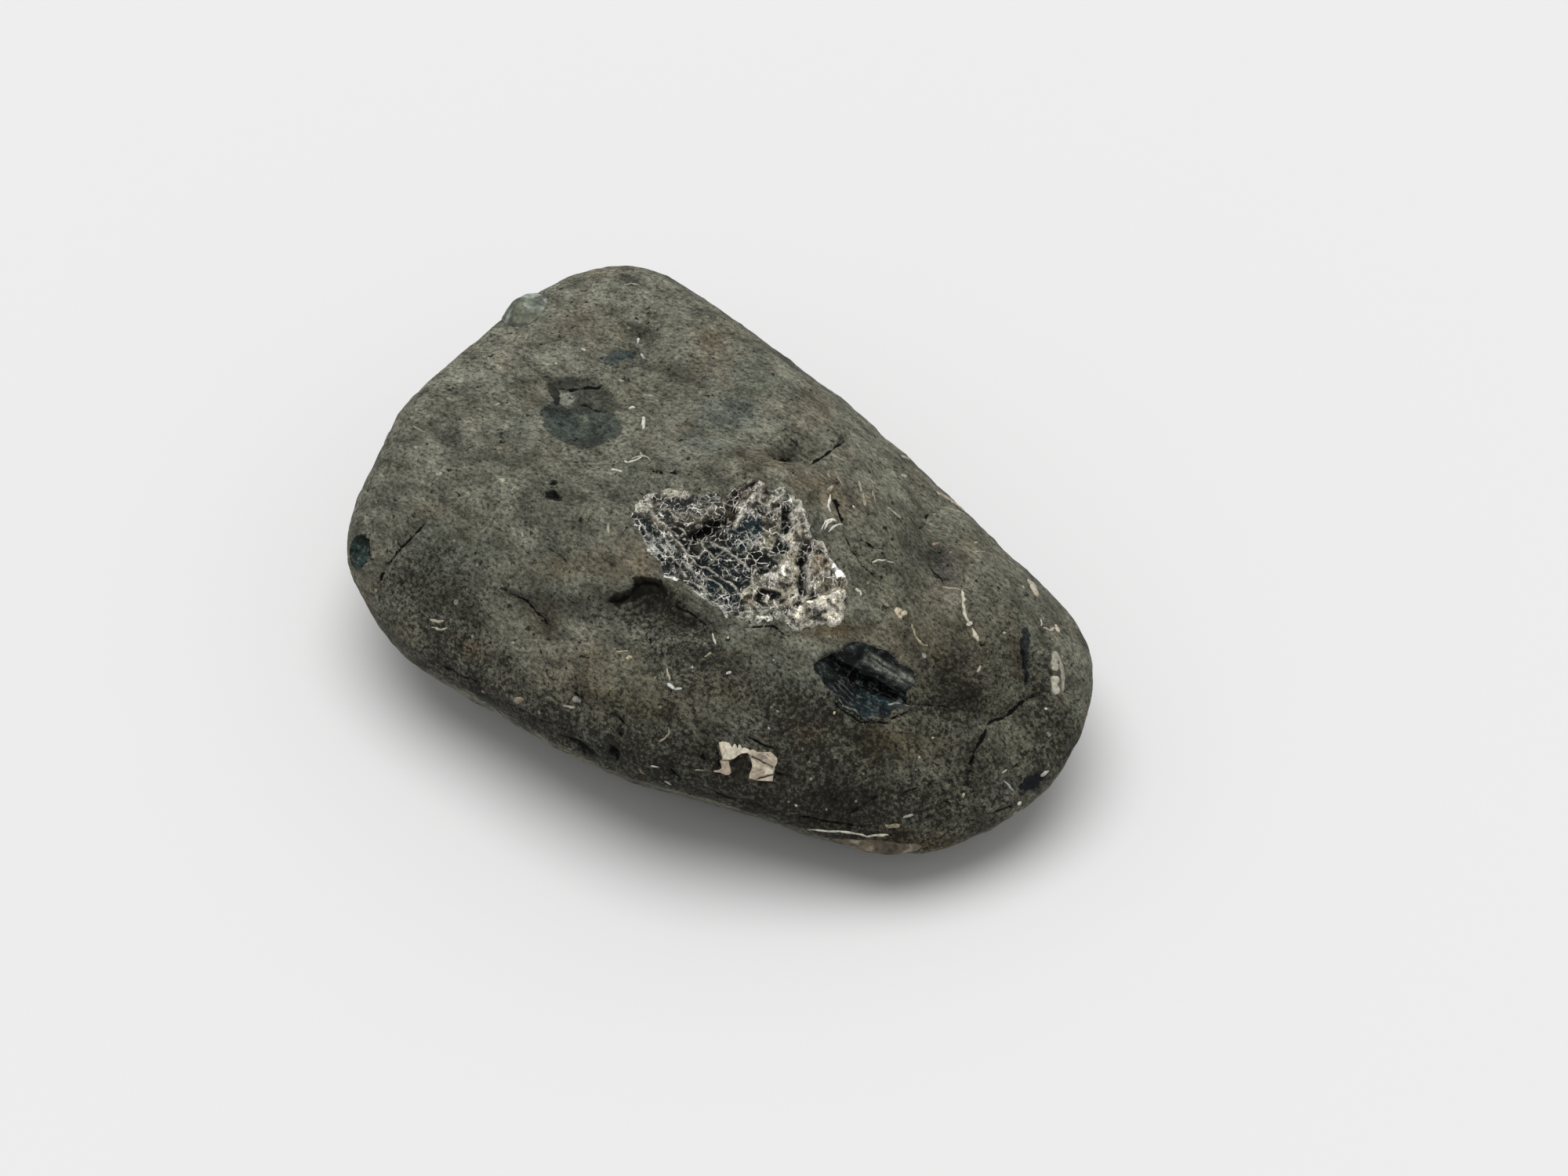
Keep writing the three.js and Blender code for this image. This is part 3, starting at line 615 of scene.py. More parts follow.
# Painted shade: the cracks, with the gaps under the valves' rims among them, are mixed towards near black,
# #050504.
crack_away = add(tree, "Math", {0: given["crack"]}, operation="ABSOLUTE")
crack_edge = add(tree, "Math", {0: given["crack_half"], 1: spread["crack"]}, operation="MULTIPLY")
crack_depth = add(tree, "Math", {0: crack_edge, 1: crack_away}, operation="SUBTRACT")
crack_painted_shade = add(tree, "MapRange", {"Value": crack_depth, "From Min": -0.04, "From Max": 0.08})
colour = given["tint"]
for share, over in ((inlay_share, given["inlay_tint"]), (spread["rust"], "#5f4f3a"),
                    (spread["moss"], "#434b3f")):
    colour = add(tree, "Mix", {0: share, 6: colour, 7: over}, out=2, data_type="RGBA")
colour = add(tree, "VectorMath", {0: colour, "Scale": light}, operation="SCALE")
for share, over in ((spread["soot"], "#1e1b15"), (spread["chalk"], "#6e6b5e"), (spread["pit"], "#0c0c0a"),
                    (grit_share, "#14110b"), (speck_share, "#8f8b7a"), (crack_painted_shade, "#050504")):
    colour = add(tree, "Mix", {0: share, 6: colour, 7: over}, out=2, data_type="RGBA")
fine = add(tree, "Math", {0: noises["grain"], 1: spread["pit"]}, operation="SUBTRACT")
finish_material(tree, shader, colour, fine, 0.8, 0.4)

# Colours below are written as the picture shows them. Lying in full light, a surface shows 1.4 times
# its own colour, so that is the written one times this share.
PICTURE_SHARE = 0.72
DARKEST = 0.004
STONE_COLOUR = "#7b7b6d"
STONE_SHADE_AND_GRIME = [
    # painted shade and dirt: how much darker the stone is painted, with more black grit, and where, as for
    # the tints. The broad ones along the low flank paint its shade, and the one along the ribbed valve's
    # upper rim, round (880, 612), the shade of the recess there; those round (840, 780) are dark grit.
    (0.55, 800, 965, 440, 75, 19), (0.55, 1050, 1020, 170, 48, 12), (0.35, 940, 875, 130, 55, 20),
    (0.42, 560, 800, 110, 60, 36), (0.6, 1215, 885, 62, 66, -10), (0.45, 1345, 945, 60, 75, 10),
    (0.4, 1240, 1010, 90, 60, -10), (0.25, 1270, 800, 60, 60, 0), (0.3, 1100, 960, 120, 40, 10),
    (0.45, 840, 778, 52, 28, 15), (0.6, 832, 766, 34, 14, 8), (0.65, 882, 796, 28, 9, 22),
    (0.3, 760, 780, 60, 22, 10), (0.4, 1000, 1055, 180, 26, 12), (0.35, 1020, 895, 50, 60, 0),
    (0.35, 870, 838, 80, 34, 10), (0.32, 560, 725, 90, 55, 10), (0.1, 740, 700, 240, 110, 20),
    (0.3, 795, 470, 56, 22, 15), (0.2, 835, 915, 70, 30, 15), (0.35, 1325, 860, 40, 60, -10),
    (0.3, 1110, 915, 70, 30, 0), (0.25, 880, 612, 60, 12, 0), (0.15, 740, 640, 90, 50, 0),
    (0.2, 1050, 940, 60, 40, 10),
]
STONE_TINTS = [
    # hex colour, share, x, y, half length and half width in pixels, turn of the length
    # Painted light and shade among them: the pale tints over the upper face, round (600, 490), (790, 375),
    # (1015, 500) and (1112, 588), paint light from above; the pale brown band along the foot, round (1140,
    # 1072), paints light thrown up from the floor; the thin dark lines round (672, 489) and (725, 487) paint
    # the shadow under the teal patch's upper rim; the dark tints round (1160, 690) paint the shade in the
    # hollow there, and the near-black one round (1060, 1018) the shade of the low flank.
    ("#8b8a7b", 0.6, 600, 490, 170, 70, -45), ("#89887a", 0.5, 790, 375, 90, 30, 10),
    ("#736750", 0.5, 915, 432, 34, 24, 20), ("#776a50", 0.6, 1040, 512, 30, 16, 35),
    ("#6f6348", 0.6, 962, 590, 30, 16, 0), ("#75654c", 0.6, 1045, 625, 60, 22, 25),
    ("#6e7468", 0.6, 960, 475, 34, 20, 30), ("#666e69", 0.6, 933, 528, 34, 18, 10),
    ("#676f69", 0.5, 900, 566, 34, 12, 0), ("#6b7567", 0.6, 1127, 602, 20, 14, 20),
    ("#3e3d33", 0.6, 1000, 580, 30, 10, 5), ("#46463b", 0.6, 815, 425, 26, 8, 5),
    ("#454539", 0.6, 855, 475, 34, 12, 30), ("#474a3e", 0.6, 678, 503, 30, 10, 20),
    ("#4b4d42", 0.6, 574, 560, 34, 14, 40), ("#4c4d43", 0.5, 505, 610, 14, 60, 5),
    ("#736349", 0.6, 735, 722, 50, 14, -8), ("#6f604c", 0.4, 812, 712, 36, 26, 20),
    ("#3a3730", 0.7, 700, 765, 60, 16, 10), ("#3f3c32", 0.3, 846, 778, 46, 20, 20),
    ("#403d33", 0.6, 700, 800, 20, 30, -20), ("#6d6047", 0.6, 765, 875, 80, 36, 15),
    ("#57503c", 0.6, 830, 910, 60, 20, 20), ("#574a33", 0.8, 1065, 800, 50, 14, 5),
    ("#3f3828", 0.7, 1225, 885, 60, 18, 10), ("#4a4030", 0.6, 1190, 830, 40, 26, 40),
    ("#5f5338", 0.7, 1130, 950, 80, 24, 10), ("#2d2c29", 0.8, 1060, 1018, 70, 18, 8),
    ("#6d5f46", 0.8, 1140, 1072, 110, 14, 6), ("#696450", 0.5, 1320, 935, 50, 40, 20),
    ("#47483c", 0.6, 1160, 686, 40, 26, 20), ("#5c5a5b", 0.6, 1206, 733, 16, 22, -20),
    ("#6c5a49", 0.6, 596, 824, 36, 10, 25), ("#3b3f3f", 0.6, 610, 890, 60, 20, 28),
    ("#2f333a", 0.8, 740, 957, 20, 10, 20), ("#333439", 0.7, 780, 962, 14, 8, 20),
    ("#20242c", 0.9, 1318, 1003, 10, 8, -20), ("#68695a", 0.8, 1137, 1000, 16, 17, 0),
    ("#5c4936", 0.8, 1296, 842, 11, 26, -8), ("#1f2b35", 0.9, 1307, 848, 4, 28, -10),
    ("#8f8b7b", 0.8, 455, 736, 8, 6, 0), ("#8f9088", 0.9, 750, 940, 15, 9, 25),
    ("#7f7a6a", 0.6, 715, 860, 26, 14, 20), ("#7f7a6a", 0.5, 655, 445, 40, 10, -25),
    ("#5d6557", 0.5, 560, 720, 40, 60, 20), ("#62503f", 0.6, 860, 700, 16, 10, 0),
    ("#4a4438", 0.6, 590, 780, 46, 14, 30), ("#6b604b", 0.5, 930, 880, 60, 30, 10),
    ("#45423a", 0.6, 1240, 990, 14, 40, -10), ("#7b7867", 0.5, 1280, 960, 26, 40, 20),
    ("#3c3d39", 0.6, 1160, 682, 13, 18, 0), ("#4a4b4c", 0.6, 1208, 724, 16, 24, -20),
    ("#3f403c", 0.5, 1315, 772, 24, 26, 30), ("#3b4646", 0.6, 1276, 1002, 22, 14, -20),
    ("#55513c", 0.6, 885, 960, 15, 6, 10), ("#7b7060", 0.6, 1252, 1045, 12, 5, -10),
    ("#3a3830", 0.6, 630, 585, 34, 6, 0), ("#56584f", 0.5, 745, 385, 14, 7, 0),
    ("#8f8a7b", 0.5, 670, 434, 18, 5, -10), ("#8a8677", 0.5, 680, 512, 16, 5, 0),
    ("#363931", 0.7, 822, 420, 20, 4, 20), ("#3b3d35", 0.6, 832, 469, 20, 4, 15),
    ("#3b3d35", 0.6, 875, 470, 14, 4, 20), ("#363a34", 0.7, 672, 489, 34, 6, -5),
    ("#2f3531", 0.8, 725, 487, 34, 4, 0), ("#44463e", 0.6, 572, 558, 24, 7, 40),
    ("#3f403c", 0.35, 1165, 715, 22, 28, 10), ("#565c55", 0.5, 598, 490, 12, 12, 0),
    ("#4c5047", 0.6, 640, 560, 40, 10, 10), ("#3f4038", 0.6, 700, 618, 26, 5, 10),
    ("#5b5a4a", 0.8, 978, 816, 22, 8, 4), ("#8a8775", 0.6, 1112, 588, 60, 26, 35),
    ("#8b8877", 0.5, 1015, 500, 44, 30, 35), ("#86816d", 0.5, 780, 866, 90, 28, 15),
    ("#746e59", 0.3, 1220, 800, 150, 130, 45),
]
STONE_PATCHES = [
    # smooth patches flush with the stone: hex colour, share, softness of the edge in pixels,
    # rise in mm, and the outline
    ("#4d4f46", 0.9, 2.5, 0, [(712, 489), (736, 486), (760, 488), (784, 500), (797, 520), (780, 526),
     (752, 518), (730, 520)]),
    ("#85867a", 0.95, 1.5, 0, [(715, 498), (724, 495), (734, 500), (734, 512), (724, 516), (716, 512)]),
    ("#7b7b6c", 0.8, 1.5, 0, [(739, 531), (749, 529), (751, 534), (744, 538)]),
    ("#363f3c", 0.6, 3.0, 0, [(700, 520), (725, 522), (736, 545), (722, 560), (700, 548)]),
    ("#5d645a", 0.5, 4.0, 0, [(960, 488), (985, 480), (1015, 484), (1030, 498), (1022, 510), (990, 514),
     (966, 504)]),
    ("#54483c", 0.6, 3.0, 0, [(1286, 813), (1300, 812), (1304, 850), (1306, 875), (1294, 868), (1288, 840)]),
    ("#5d6259", 0.5, 5.0, 0, [(872, 540), (890, 524), (920, 510), (950, 514), (960, 534), (944, 552),
     (910, 560), (882, 556)]),
]


STONE_INLAYS = [
    # crisp dark shells, slots and stains flush with the stone: hex colour and outline. The near-black ones
    # are painted shade: the crescent under the step below the ribbed valve's left end, the two pits round
    # (705, 625), and the rim over the teal patch round (705, 500).
    ("#424943", [(706, 512), (714, 513), (722, 518), (732, 519), (737, 509), (750, 514), (760, 521),
     (775, 521), (783, 526), (790, 536), (796, 545), (788, 557), (777, 560), (765, 566), (755, 570),
     (735, 569), (722, 565), (708, 559), (697, 551), (693, 543), (695, 536), (689, 529), (689, 522),
     (696, 517)]),
    ("#101413", [(696, 489), (704, 487), (712, 492), (714, 500), (713, 516), (704, 517), (706, 503),
     (699, 497)]),
    ("#4a5350", [(771, 459), (777, 451), (783, 447), (792, 445), (802, 446), (812, 448), (814, 453),
     (808, 457), (798, 458), (790, 462), (785, 467), (777, 466), (771, 468)]),
    ("#0a0a08", [(772, 765), (785, 756), (799, 752), (806, 745), (805, 736), (816, 734), (832, 736),
     (842, 741), (849, 748), (853, 758), (843, 759), (834, 755), (824, 757), (815, 758), (808, 763),
     (796, 767), (783, 770)]),
    ("#0a0a09", [(693, 624), (704, 621), (714, 629), (718, 638), (706, 639), (694, 634)]),
    ("#0a0a09", [(699, 610), (708, 608), (713, 616), (702, 621)]),
    ("#232a2e", [(1303, 800), (1310, 797), (1315, 806), (1313, 830), (1315, 860), (1313, 882), (1308, 878),
     (1305, 850), (1303, 825)]),
    ("#141a22", [(1300, 1004), (1309, 991), (1322, 987), (1333, 983), (1329, 999), (1316, 1008),
     (1304, 1012)]),
    ("#0e0e0c", [(930, 974), (937, 967), (948, 963), (955, 967), (958, 978), (956, 988), (954, 996),
     (944, 994), (934, 992), (925, 986), (932, 981)]),
]


def paint(code):
    """A surface's own colour, linear, for one that is written as the picture shows it."""
    return linear(code) * PICTURE_SHARE


def mix_in(colour, code, share):
    """Mixes a colour in, by a share at each point."""
    colour += (paint(code) - colour) * share[:, None]


def drift(points, cell, seeds):
    """Two noises, across and down, that push drawn places about."""
    return np.stack([noise(points, cell, seed) for seed in seeds], -1)


def lay_patches(colour, height, places, patches, seen=1.0):
    """Mixes each patch's colour in, and adds its rise, by a share that goes from 0 to 1 across its
    outline over twice its softness."""
    for code, share, softness, rise, outline in patches:
        inside = smooth(-softness, softness, inside_measure(places, outline)) * seen
        mix_in(colour, code, share * inside)
        height += rise * inside


STONE_STAINS = [
    # hex colour, seed and size of the broad stains on the sides that the picture doesn't show
    ("#4a463a", 13, 15.0), ("#6f6147", 14, 12.0), ("#76766a", 15, 18.0), ("#4c5450", 16, 10.0),
]
# The most painted shade and dirt that is passed on to the black grit.
MOST_SHADE_AND_GRIME = 0.64


def stone_paint(points, places, facing):
    """Linear colours: the stone's own, stained by noise all round, then mixed with bell-shaped tints and
    soft patches that the picture shows, some of which paint light and shade, and darkened by painted shade
    and by dirt. Also gives how shaded and dirty it is, from 0 to the most."""
    places = places + 4 * drift(points, 1.6, (11, 12))
    colour = np.tile(paint(STONE_COLOUR), (len(points), 1))
    seen = smooth(0.0, 0.3, facing)
    for code, seed, cell in STONE_STAINS:
        mix_in(colour, code, 0.7 * smooth(0.15, 0.7, noise(points, cell, seed)) * (1 - 0.8 * seen))
    broken = 1 + 0.5 * noise(points, 2.2, 17)
    for code, share, *where in STONE_TINTS:
        mix_in(colour, code, np.clip(share * bell(places, *where) * broken, 0, 1) * seen)
    lay_patches(colour, np.zeros(len(points)), places, STONE_PATCHES, seen)
    # Painted shade and dirt: darker where the low flank's and the recesses' shade is painted, and where the
    # stone is dirty.
    unshaded_and_clean = np.ones(len(points))
    for share, *where in STONE_SHADE_AND_GRIME:
        unshaded_and_clean *= 1 - share * bell(places, *where) * (0.8 + 0.4 * broken) * seen
    return np.maximum(colour * unshaded_and_clean[:, None] ** 0.6, DARKEST), np.minimum(1 - unshaded_and_clean, MOST_SHADE_AND_GRIME)


# The stone's mesh: two square grids bent over the two ends of an egg, which meet along their rims. The
# front one looks along the view and is the finer of the two.
STONE_CELLS = 220
FRONT_POLAR = np.radians(80)
STRETCH = np.array([7.2, 6.2, 4.8])
OUT_OF_REACH = 15.0

disc_x, disc_y = square_on_disc(STONE_CELLS)
disc = np.hypot(disc_x, disc_y)
pole = unit(-AHEAD / STRETCH)
east = unit(np.cross((0, 0, 1), pole))
north = np.cross(pole, east)
around = (disc_x[..., None] * east + disc_y[..., None] * north) / np.where(disc == 0, 1, disc)[..., None]
front = 2 * np.arcsin(np.clip(disc, 0, 1) * np.sin(FRONT_POLAR / 2))[..., None]
rear = 2 * np.arcsin(np.clip(disc, 0, 1) * np.sin((np.pi - FRONT_POLAR) / 2))[..., None]
caps = [np.cos(front) * pole + np.sin(front) * around, -np.cos(rear) * pole + np.sin(rear) * around]
toward = unit(np.concatenate([cap.reshape(-1, 3) for cap in caps]) * STRETCH)
side = STONE_CELLS + 1
number = np.arange(2 * side * side).reshape(2, side, side)
rim = np.ones((side, side), bool)
rim[1:-1, 1:-1] = False
number[1][rim] = number[0][rim]
cap_faces = grid_faces(side, side)
stone_faces = np.concatenate([
    number[0].ravel()[cap_faces],
    number[1].ravel()[cap_faces][:, ::-1],
])
kept, stone_faces = np.unique(stone_faces, return_inverse=True)
stone_faces = stone_faces.reshape(-1, 3)
stone_points, stone_normals, stone_places, stone_facing = stone_surface(toward[kept])

crack_away = np.full(len(stone_points), OUT_OF_REACH)
crack_half = np.zeros(len(stone_points))
for _, half_width, line in STONE_CRACKS:
    distance, share = line_measure(stone_places, line)
    closer = np.abs(distance) < np.abs(crack_away)
    taper = 0.75 * half_width * smooth(0, 0.15, share) * smooth(1, 0.8, share)
    crack_away = np.where(closer, distance, crack_away)
    crack_half = np.where(closer, taper * smooth(9, 6, np.abs(distance)), crack_half)
crack_half *= smooth(0.0, 0.2, stone_facing)

inlay_away = np.full(len(stone_points), -OUT_OF_REACH)
inlay_tint = np.zeros((len(stone_points), 3))
for code, outline in STONE_INLAYS:
    inside = inside_measure(stone_places, outline)
    nearer = inside > inlay_away
    inlay_away = np.where(nearer & (stone_facing > 0), inside, inlay_away)
    inlay_tint = np.where(nearer[:, None], paint(code), inlay_tint)
lay_patches(inlay_tint, np.zeros(len(stone_points)), stone_places, STONE_PATCHES)
inlay_tint *= 1 + 0.5 * noise(stone_points, 0.9, 18)[:, None]

# The tint holds painted light and shade as well as the stone's colour; the second value is how much painted
# shade and dirt lie at each point.
tint, grime = stone_paint(stone_points, stone_places, stone_facing)
stone = make_piece(
    "siltstone_nodule", stone_points, stone_faces, siltstone,
    tint=tint, grime=grime, inlay_tint=inlay_tint, inlay=inlay_away * PIXEL_MM,
    crack=crack_away * PIXEL_MM, crack_half=crack_half * PIXEL_MM,
)
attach(stone, "root")
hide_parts("matrix_stone")


# The ribbed valve: one broken valve of the carditid, about 31 mm of it, of brown, grey and teal shell
# crazed by fine cream lines. It grew in radiating ribs, and the stone set hard round it.
VALVE_SEAT = (322, 48)
VALVE_DEPTH = 1.8
VALVE_TILT = 0.07
VALVE_RIBS = [
    # u and v of two ends on the shell's own plane, half width, and height (furrows are negative)
    (-10.4, 9.2, -6.5, 9.2, 0.9, 0.5), (-8.2, 5.1, -3.4, 6.8, 1.0, 0.5), (-5.5, 2.9, -1.2, 5.4, 0.7, -1.4),
    (-1.0, 4.6, 2.4, 10.1, 0.9, 0.9), (-1.8, 9.0, -1.4, 6.1, 0.7, -0.6), (2.9, 5.4, 4.6, 8.4, 0.7, 0.5),
    (2.6, 9.5, 2.8, 6.5, 0.5, -0.6), (7.5, 6.4, 6.5, 1.4, 0.9, 1.1), (5.9, 6.4, 5.6, 3.8, 0.6, -1.1),
    (8.9, 2.7, 8.7, -3.7, 0.6, 1.0), (8.0, -0.3, 8.0, -4.6, 0.6, -1.1), (10.3, 2.0, 12.1, -1.1, 0.7, 0.9),
    (12.2, -4.6, 7.6, -7.2, 1.3, 0.9), (5.9, -6.6, 13.2, -3.0, 0.4, -0.6), (1.9, -4.9, 5.2, -4.8, 0.9, -0.7),
    (-2.4, -4.4, 0.0, -6.5, 0.5, 0.3), (-10.9, 6.2, -5.8, -0.9, 0.5, 0.4),
    (-12.0, 4.6, -7.6, -2.2, 0.9, -0.4), (-3.5, 0.2, 1.4, -3.4, 2.6, -0.5),
]
VALVE_PATCHES = [
    # hex colour, share, softness of the edge in pixels, rise in mm, and the outline
    ("#35454a", 0.95, 2.0, -0.1, [(800, 657), (815, 656), (828, 662), (838, 676), (850, 692), (858, 704),
     (866, 716), (868, 728), (862, 741), (843, 736), (839, 721), (825, 704), (815, 684), (807, 670)]),
    ("#6e6858", 0.9, 2.0, 0.05, [(828, 652), (839, 664), (854, 681), (870, 700), (886, 717), (886, 727),
     (876, 726), (866, 712), (854, 697), (842, 678), (832, 664)]),
    ("#464036", 0.9, 3.0, 0.0, [(833, 650), (850, 628), (906, 629), (925, 628), (906, 651), (880, 662),
     (855, 668), (846, 667)]),
    ("#22211d", 0.9, 2.5, -0.15, [(853, 675), (866, 668), (884, 679), (893, 686), (880, 700), (876, 703),
     (862, 690)]),
    ("#5a5344", 0.9, 2.0, 0.1, [(862, 668), (885, 662), (905, 655), (912, 660), (900, 668), (885, 677),
     (872, 676)]),
    ("#0a0a0a", 0.95, 1.8, -0.25, [(884, 680), (895, 671), (908, 667), (921, 655), (930, 661), (923, 669),
     (908, 679), (893, 686)]),
    ("#55493b", 0.9, 2.0, 0.1, [(931, 666), (925, 652), (928, 636), (946, 622), (964, 612), (971, 617),
     (968, 629), (957, 645), (945, 659), (937, 671)]),
    ("#0d0d0c", 0.9, 1.5, -0.2, [(935, 629), (940, 626), (944, 631), (940, 637), (935, 636)]),
    ("#0d0d0c", 0.9, 1.5, -0.2, [(953, 619), (961, 615), (966, 620), (962, 628), (954, 626)]),
    ("#0f100f", 0.85, 1.5, -0.2, [(934, 645), (941, 642), (945, 648), (940, 655), (934, 652)]),
    ("#2c3939", 0.95, 2.0, -0.05, [(939, 668), (949, 656), (957, 652), (970, 657), (974, 668), (972, 680),
     (962, 690), (948, 698), (936, 700), (931, 680)]),
    ("#6c6656", 0.9, 2.5, 0.1, [(974, 662), (985, 653), (995, 650), (996, 675), (990, 690), (983, 703),
     (973, 708), (968, 690)]),
    ("#152124", 0.95, 2.0, -0.2, [(887, 711), (901, 703), (904, 697), (913, 693), (928, 700), (941, 712),
     (956, 726), (961, 733), (957, 745), (944, 757), (936, 747), (924, 739), (913, 730), (900, 723),
     (890, 722)]),
    ("#1a272b", 0.95, 2.0, -0.15, [(893, 722), (907, 726), (919, 736), (931, 742), (942, 752), (944, 760),
     (941, 770), (930, 768), (921, 757), (912, 742), (894, 739), (884, 728)]),
    ("#28343a", 0.9, 2.5, -0.1, [(880, 742), (894, 741), (912, 742), (922, 756), (938, 771), (926, 776),
     (905, 766), (890, 755)]),
    ("#212d2e", 0.9, 2.0, -0.1, [(955, 700), (966, 697), (972, 706), (984, 708), (998, 708), (1004, 715),
     (994, 728), (980, 730), (965, 733), (960, 722)]),
    ("#172a2c", 0.95, 1.5, -0.2, [(993, 680), (1000, 686), (1004, 694), (1008, 702), (998, 705), (986, 706),
     (984, 702), (989, 690)]),
    ("#22251f", 0.9, 1.5, -0.15, [(998, 653), (1010, 657), (1010, 670), (1008, 678), (995, 678),
     (996, 663)]),
    ("#0b1617", 0.95, 1.2, -0.3, [(1000, 641), (1008, 643), (1011, 650), (1006, 652), (1001, 647)]),
    ("#7a7363", 0.9, 1.8, 0.2, [(1011, 657), (1016, 652), (1025, 656), (1027, 664), (1033, 672), (1028, 680),
     (1024, 693), (1016, 700), (1010, 699), (1003, 691), (1001, 686), (1009, 680)]),
    ("#696c62", 0.85, 2.5, 0.05, [(988, 624), (1002, 622), (1010, 631), (1022, 638), (1030, 657),
     (1024, 656), (1013, 651), (1000, 640)]),
    ("#736c5d", 0.9, 2.5, 0.1, [(985, 710), (1004, 706), (1024, 695), (1032, 700), (1026, 725), (1020, 745),
     (1020, 760), (1010, 772), (1000, 778), (985, 772), (999, 756), (998, 750), (980, 748), (965, 746),
     (962, 735), (985, 730), (995, 722)]),
    ("#272421", 0.9, 1.8, -0.25, [(1024, 700), (1031, 700), (1031, 712), (1026, 722), (1030, 738),
     (1030, 756), (1022, 758), (1017, 748), (1018, 736), (1022, 728), (1016, 718), (1020, 712)]),
    ("#766955", 0.9, 1.8, 0.05, [(1036, 700), (1046, 696), (1052, 710), (1056, 722), (1050, 730),
     (1042, 735), (1036, 730)]),
    ("#6f6858", 0.9, 1.8, 0.05, [(1041, 737), (1055, 726), (1062, 730), (1076, 736), (1082, 748),
     (1075, 752), (1054, 760), (1042, 764), (1038, 750)]),
    ("#2a2726", 0.9, 1.5, -0.2, [(1031, 757), (1036, 750), (1041, 757), (1041, 766), (1034, 768)]),
    ("#141414", 0.95, 1.2, -0.3, [(962, 764), (968, 752), (977, 750), (999, 756), (995, 761), (986, 766),
     (974, 771), (969, 770)]),
    ("#8f897c", 0.9, 1.2, 0.2, [(970.5, 766.5), (979, 757), (984, 761), (979, 769)]),
    ("#968a76", 0.9, 1.8, 0.1, [(944, 759), (952, 750), (962, 746), (967, 751), (962, 762), (966, 771),
     (960, 775), (948, 772)]),
    ("#808073", 0.85, 2.5, 0.1, [(915, 776), (944, 772), (966, 774), (990, 774), (999, 780), (996, 789),
     (984, 793), (954, 795), (938, 788)]),
    ("#c9c7ba", 0.85, 2.0, 0.1, [(963, 788), (975, 786), (986, 789), (982, 794), (966, 793)]),
    ("#918c7e", 0.95, 1.8, 0.15, [(1078.6, 752.2), (1079.5, 758.8), (1080.3, 766.3), (1077, 769.6),
     (1078.6, 774.6), (1075.3, 780.4), (1074.5, 791.2), (1069.5, 797), (1064.5, 800.3), (1052.9, 796),
     (1041.3, 797), (1029.7, 800.3), (1021.4, 803.6), (1016.4, 806), (1005.7, 797.8), (1000.7, 790.3),
     (997.4, 783.7), (1003.2, 779.6), (1014.8, 775.4), (1028, 767), (1044.6, 763.8), (1061.2, 757.2)]),
    ("#7f796c", 0.7, 2.0, 0.1, [(833, 629.6), (845, 624.5), (855.5, 623.5), (872, 624.5), (880, 629.6),
     (872, 635.7), (851, 637.8), (841, 633.7)]),
    ("#a5a091", 0.95, 1.8, 0.05, [(806, 650), (815, 643), (820, 634), (828, 629), (834, 631), (833, 642),
     (826, 648), (812, 652)]),
    ("#ebeee8", 1.0, 1.5, 0.1, [(1061, 720), (1078, 731), (1078, 735), (1068, 735), (1062, 729)]),
    ("#dcdacd", 0.9, 1.8, 0.1, [(845, 731), (856, 734), (868, 738), (866, 742), (850, 740)]),
    ("#d7d7cd", 0.85, 2.5, 0.05, [(824, 699), (832, 697), (841, 703), (838, 709), (828, 705)]),
    ("#263e40", 0.9, 1.8, -0.1, [(1039, 780), (1045, 777), (1050, 781), (1046, 787), (1041, 786)]),
    ("#263e40", 0.9, 1.8, -0.1, [(1013, 798), (1018, 797), (1020, 803), (1016, 806)]),
    ("#d2ccbc", 0.9, 1.8, 0.1, [(934, 695), (944, 696), (943, 703), (935, 701)]),
    ("#b5ae9e", 0.85, 1.8, 0.1, [(984, 732), (991, 731), (990, 744), (985, 745)]),
    ("#c8c2b2", 0.8, 1.5, 0.05, [(997, 722), (1001, 722), (1001, 737), (997, 738)]),
    ("#2b2620", 0.8, 1.5, -0.1, [(1040, 700), (1045, 699), (1046, 705), (1041, 706)]),
    ("#1d2f31", 0.9, 2.0, -0.05, [(841, 702), (850, 700), (862, 712), (862, 724), (852, 727), (843, 716)]),
]
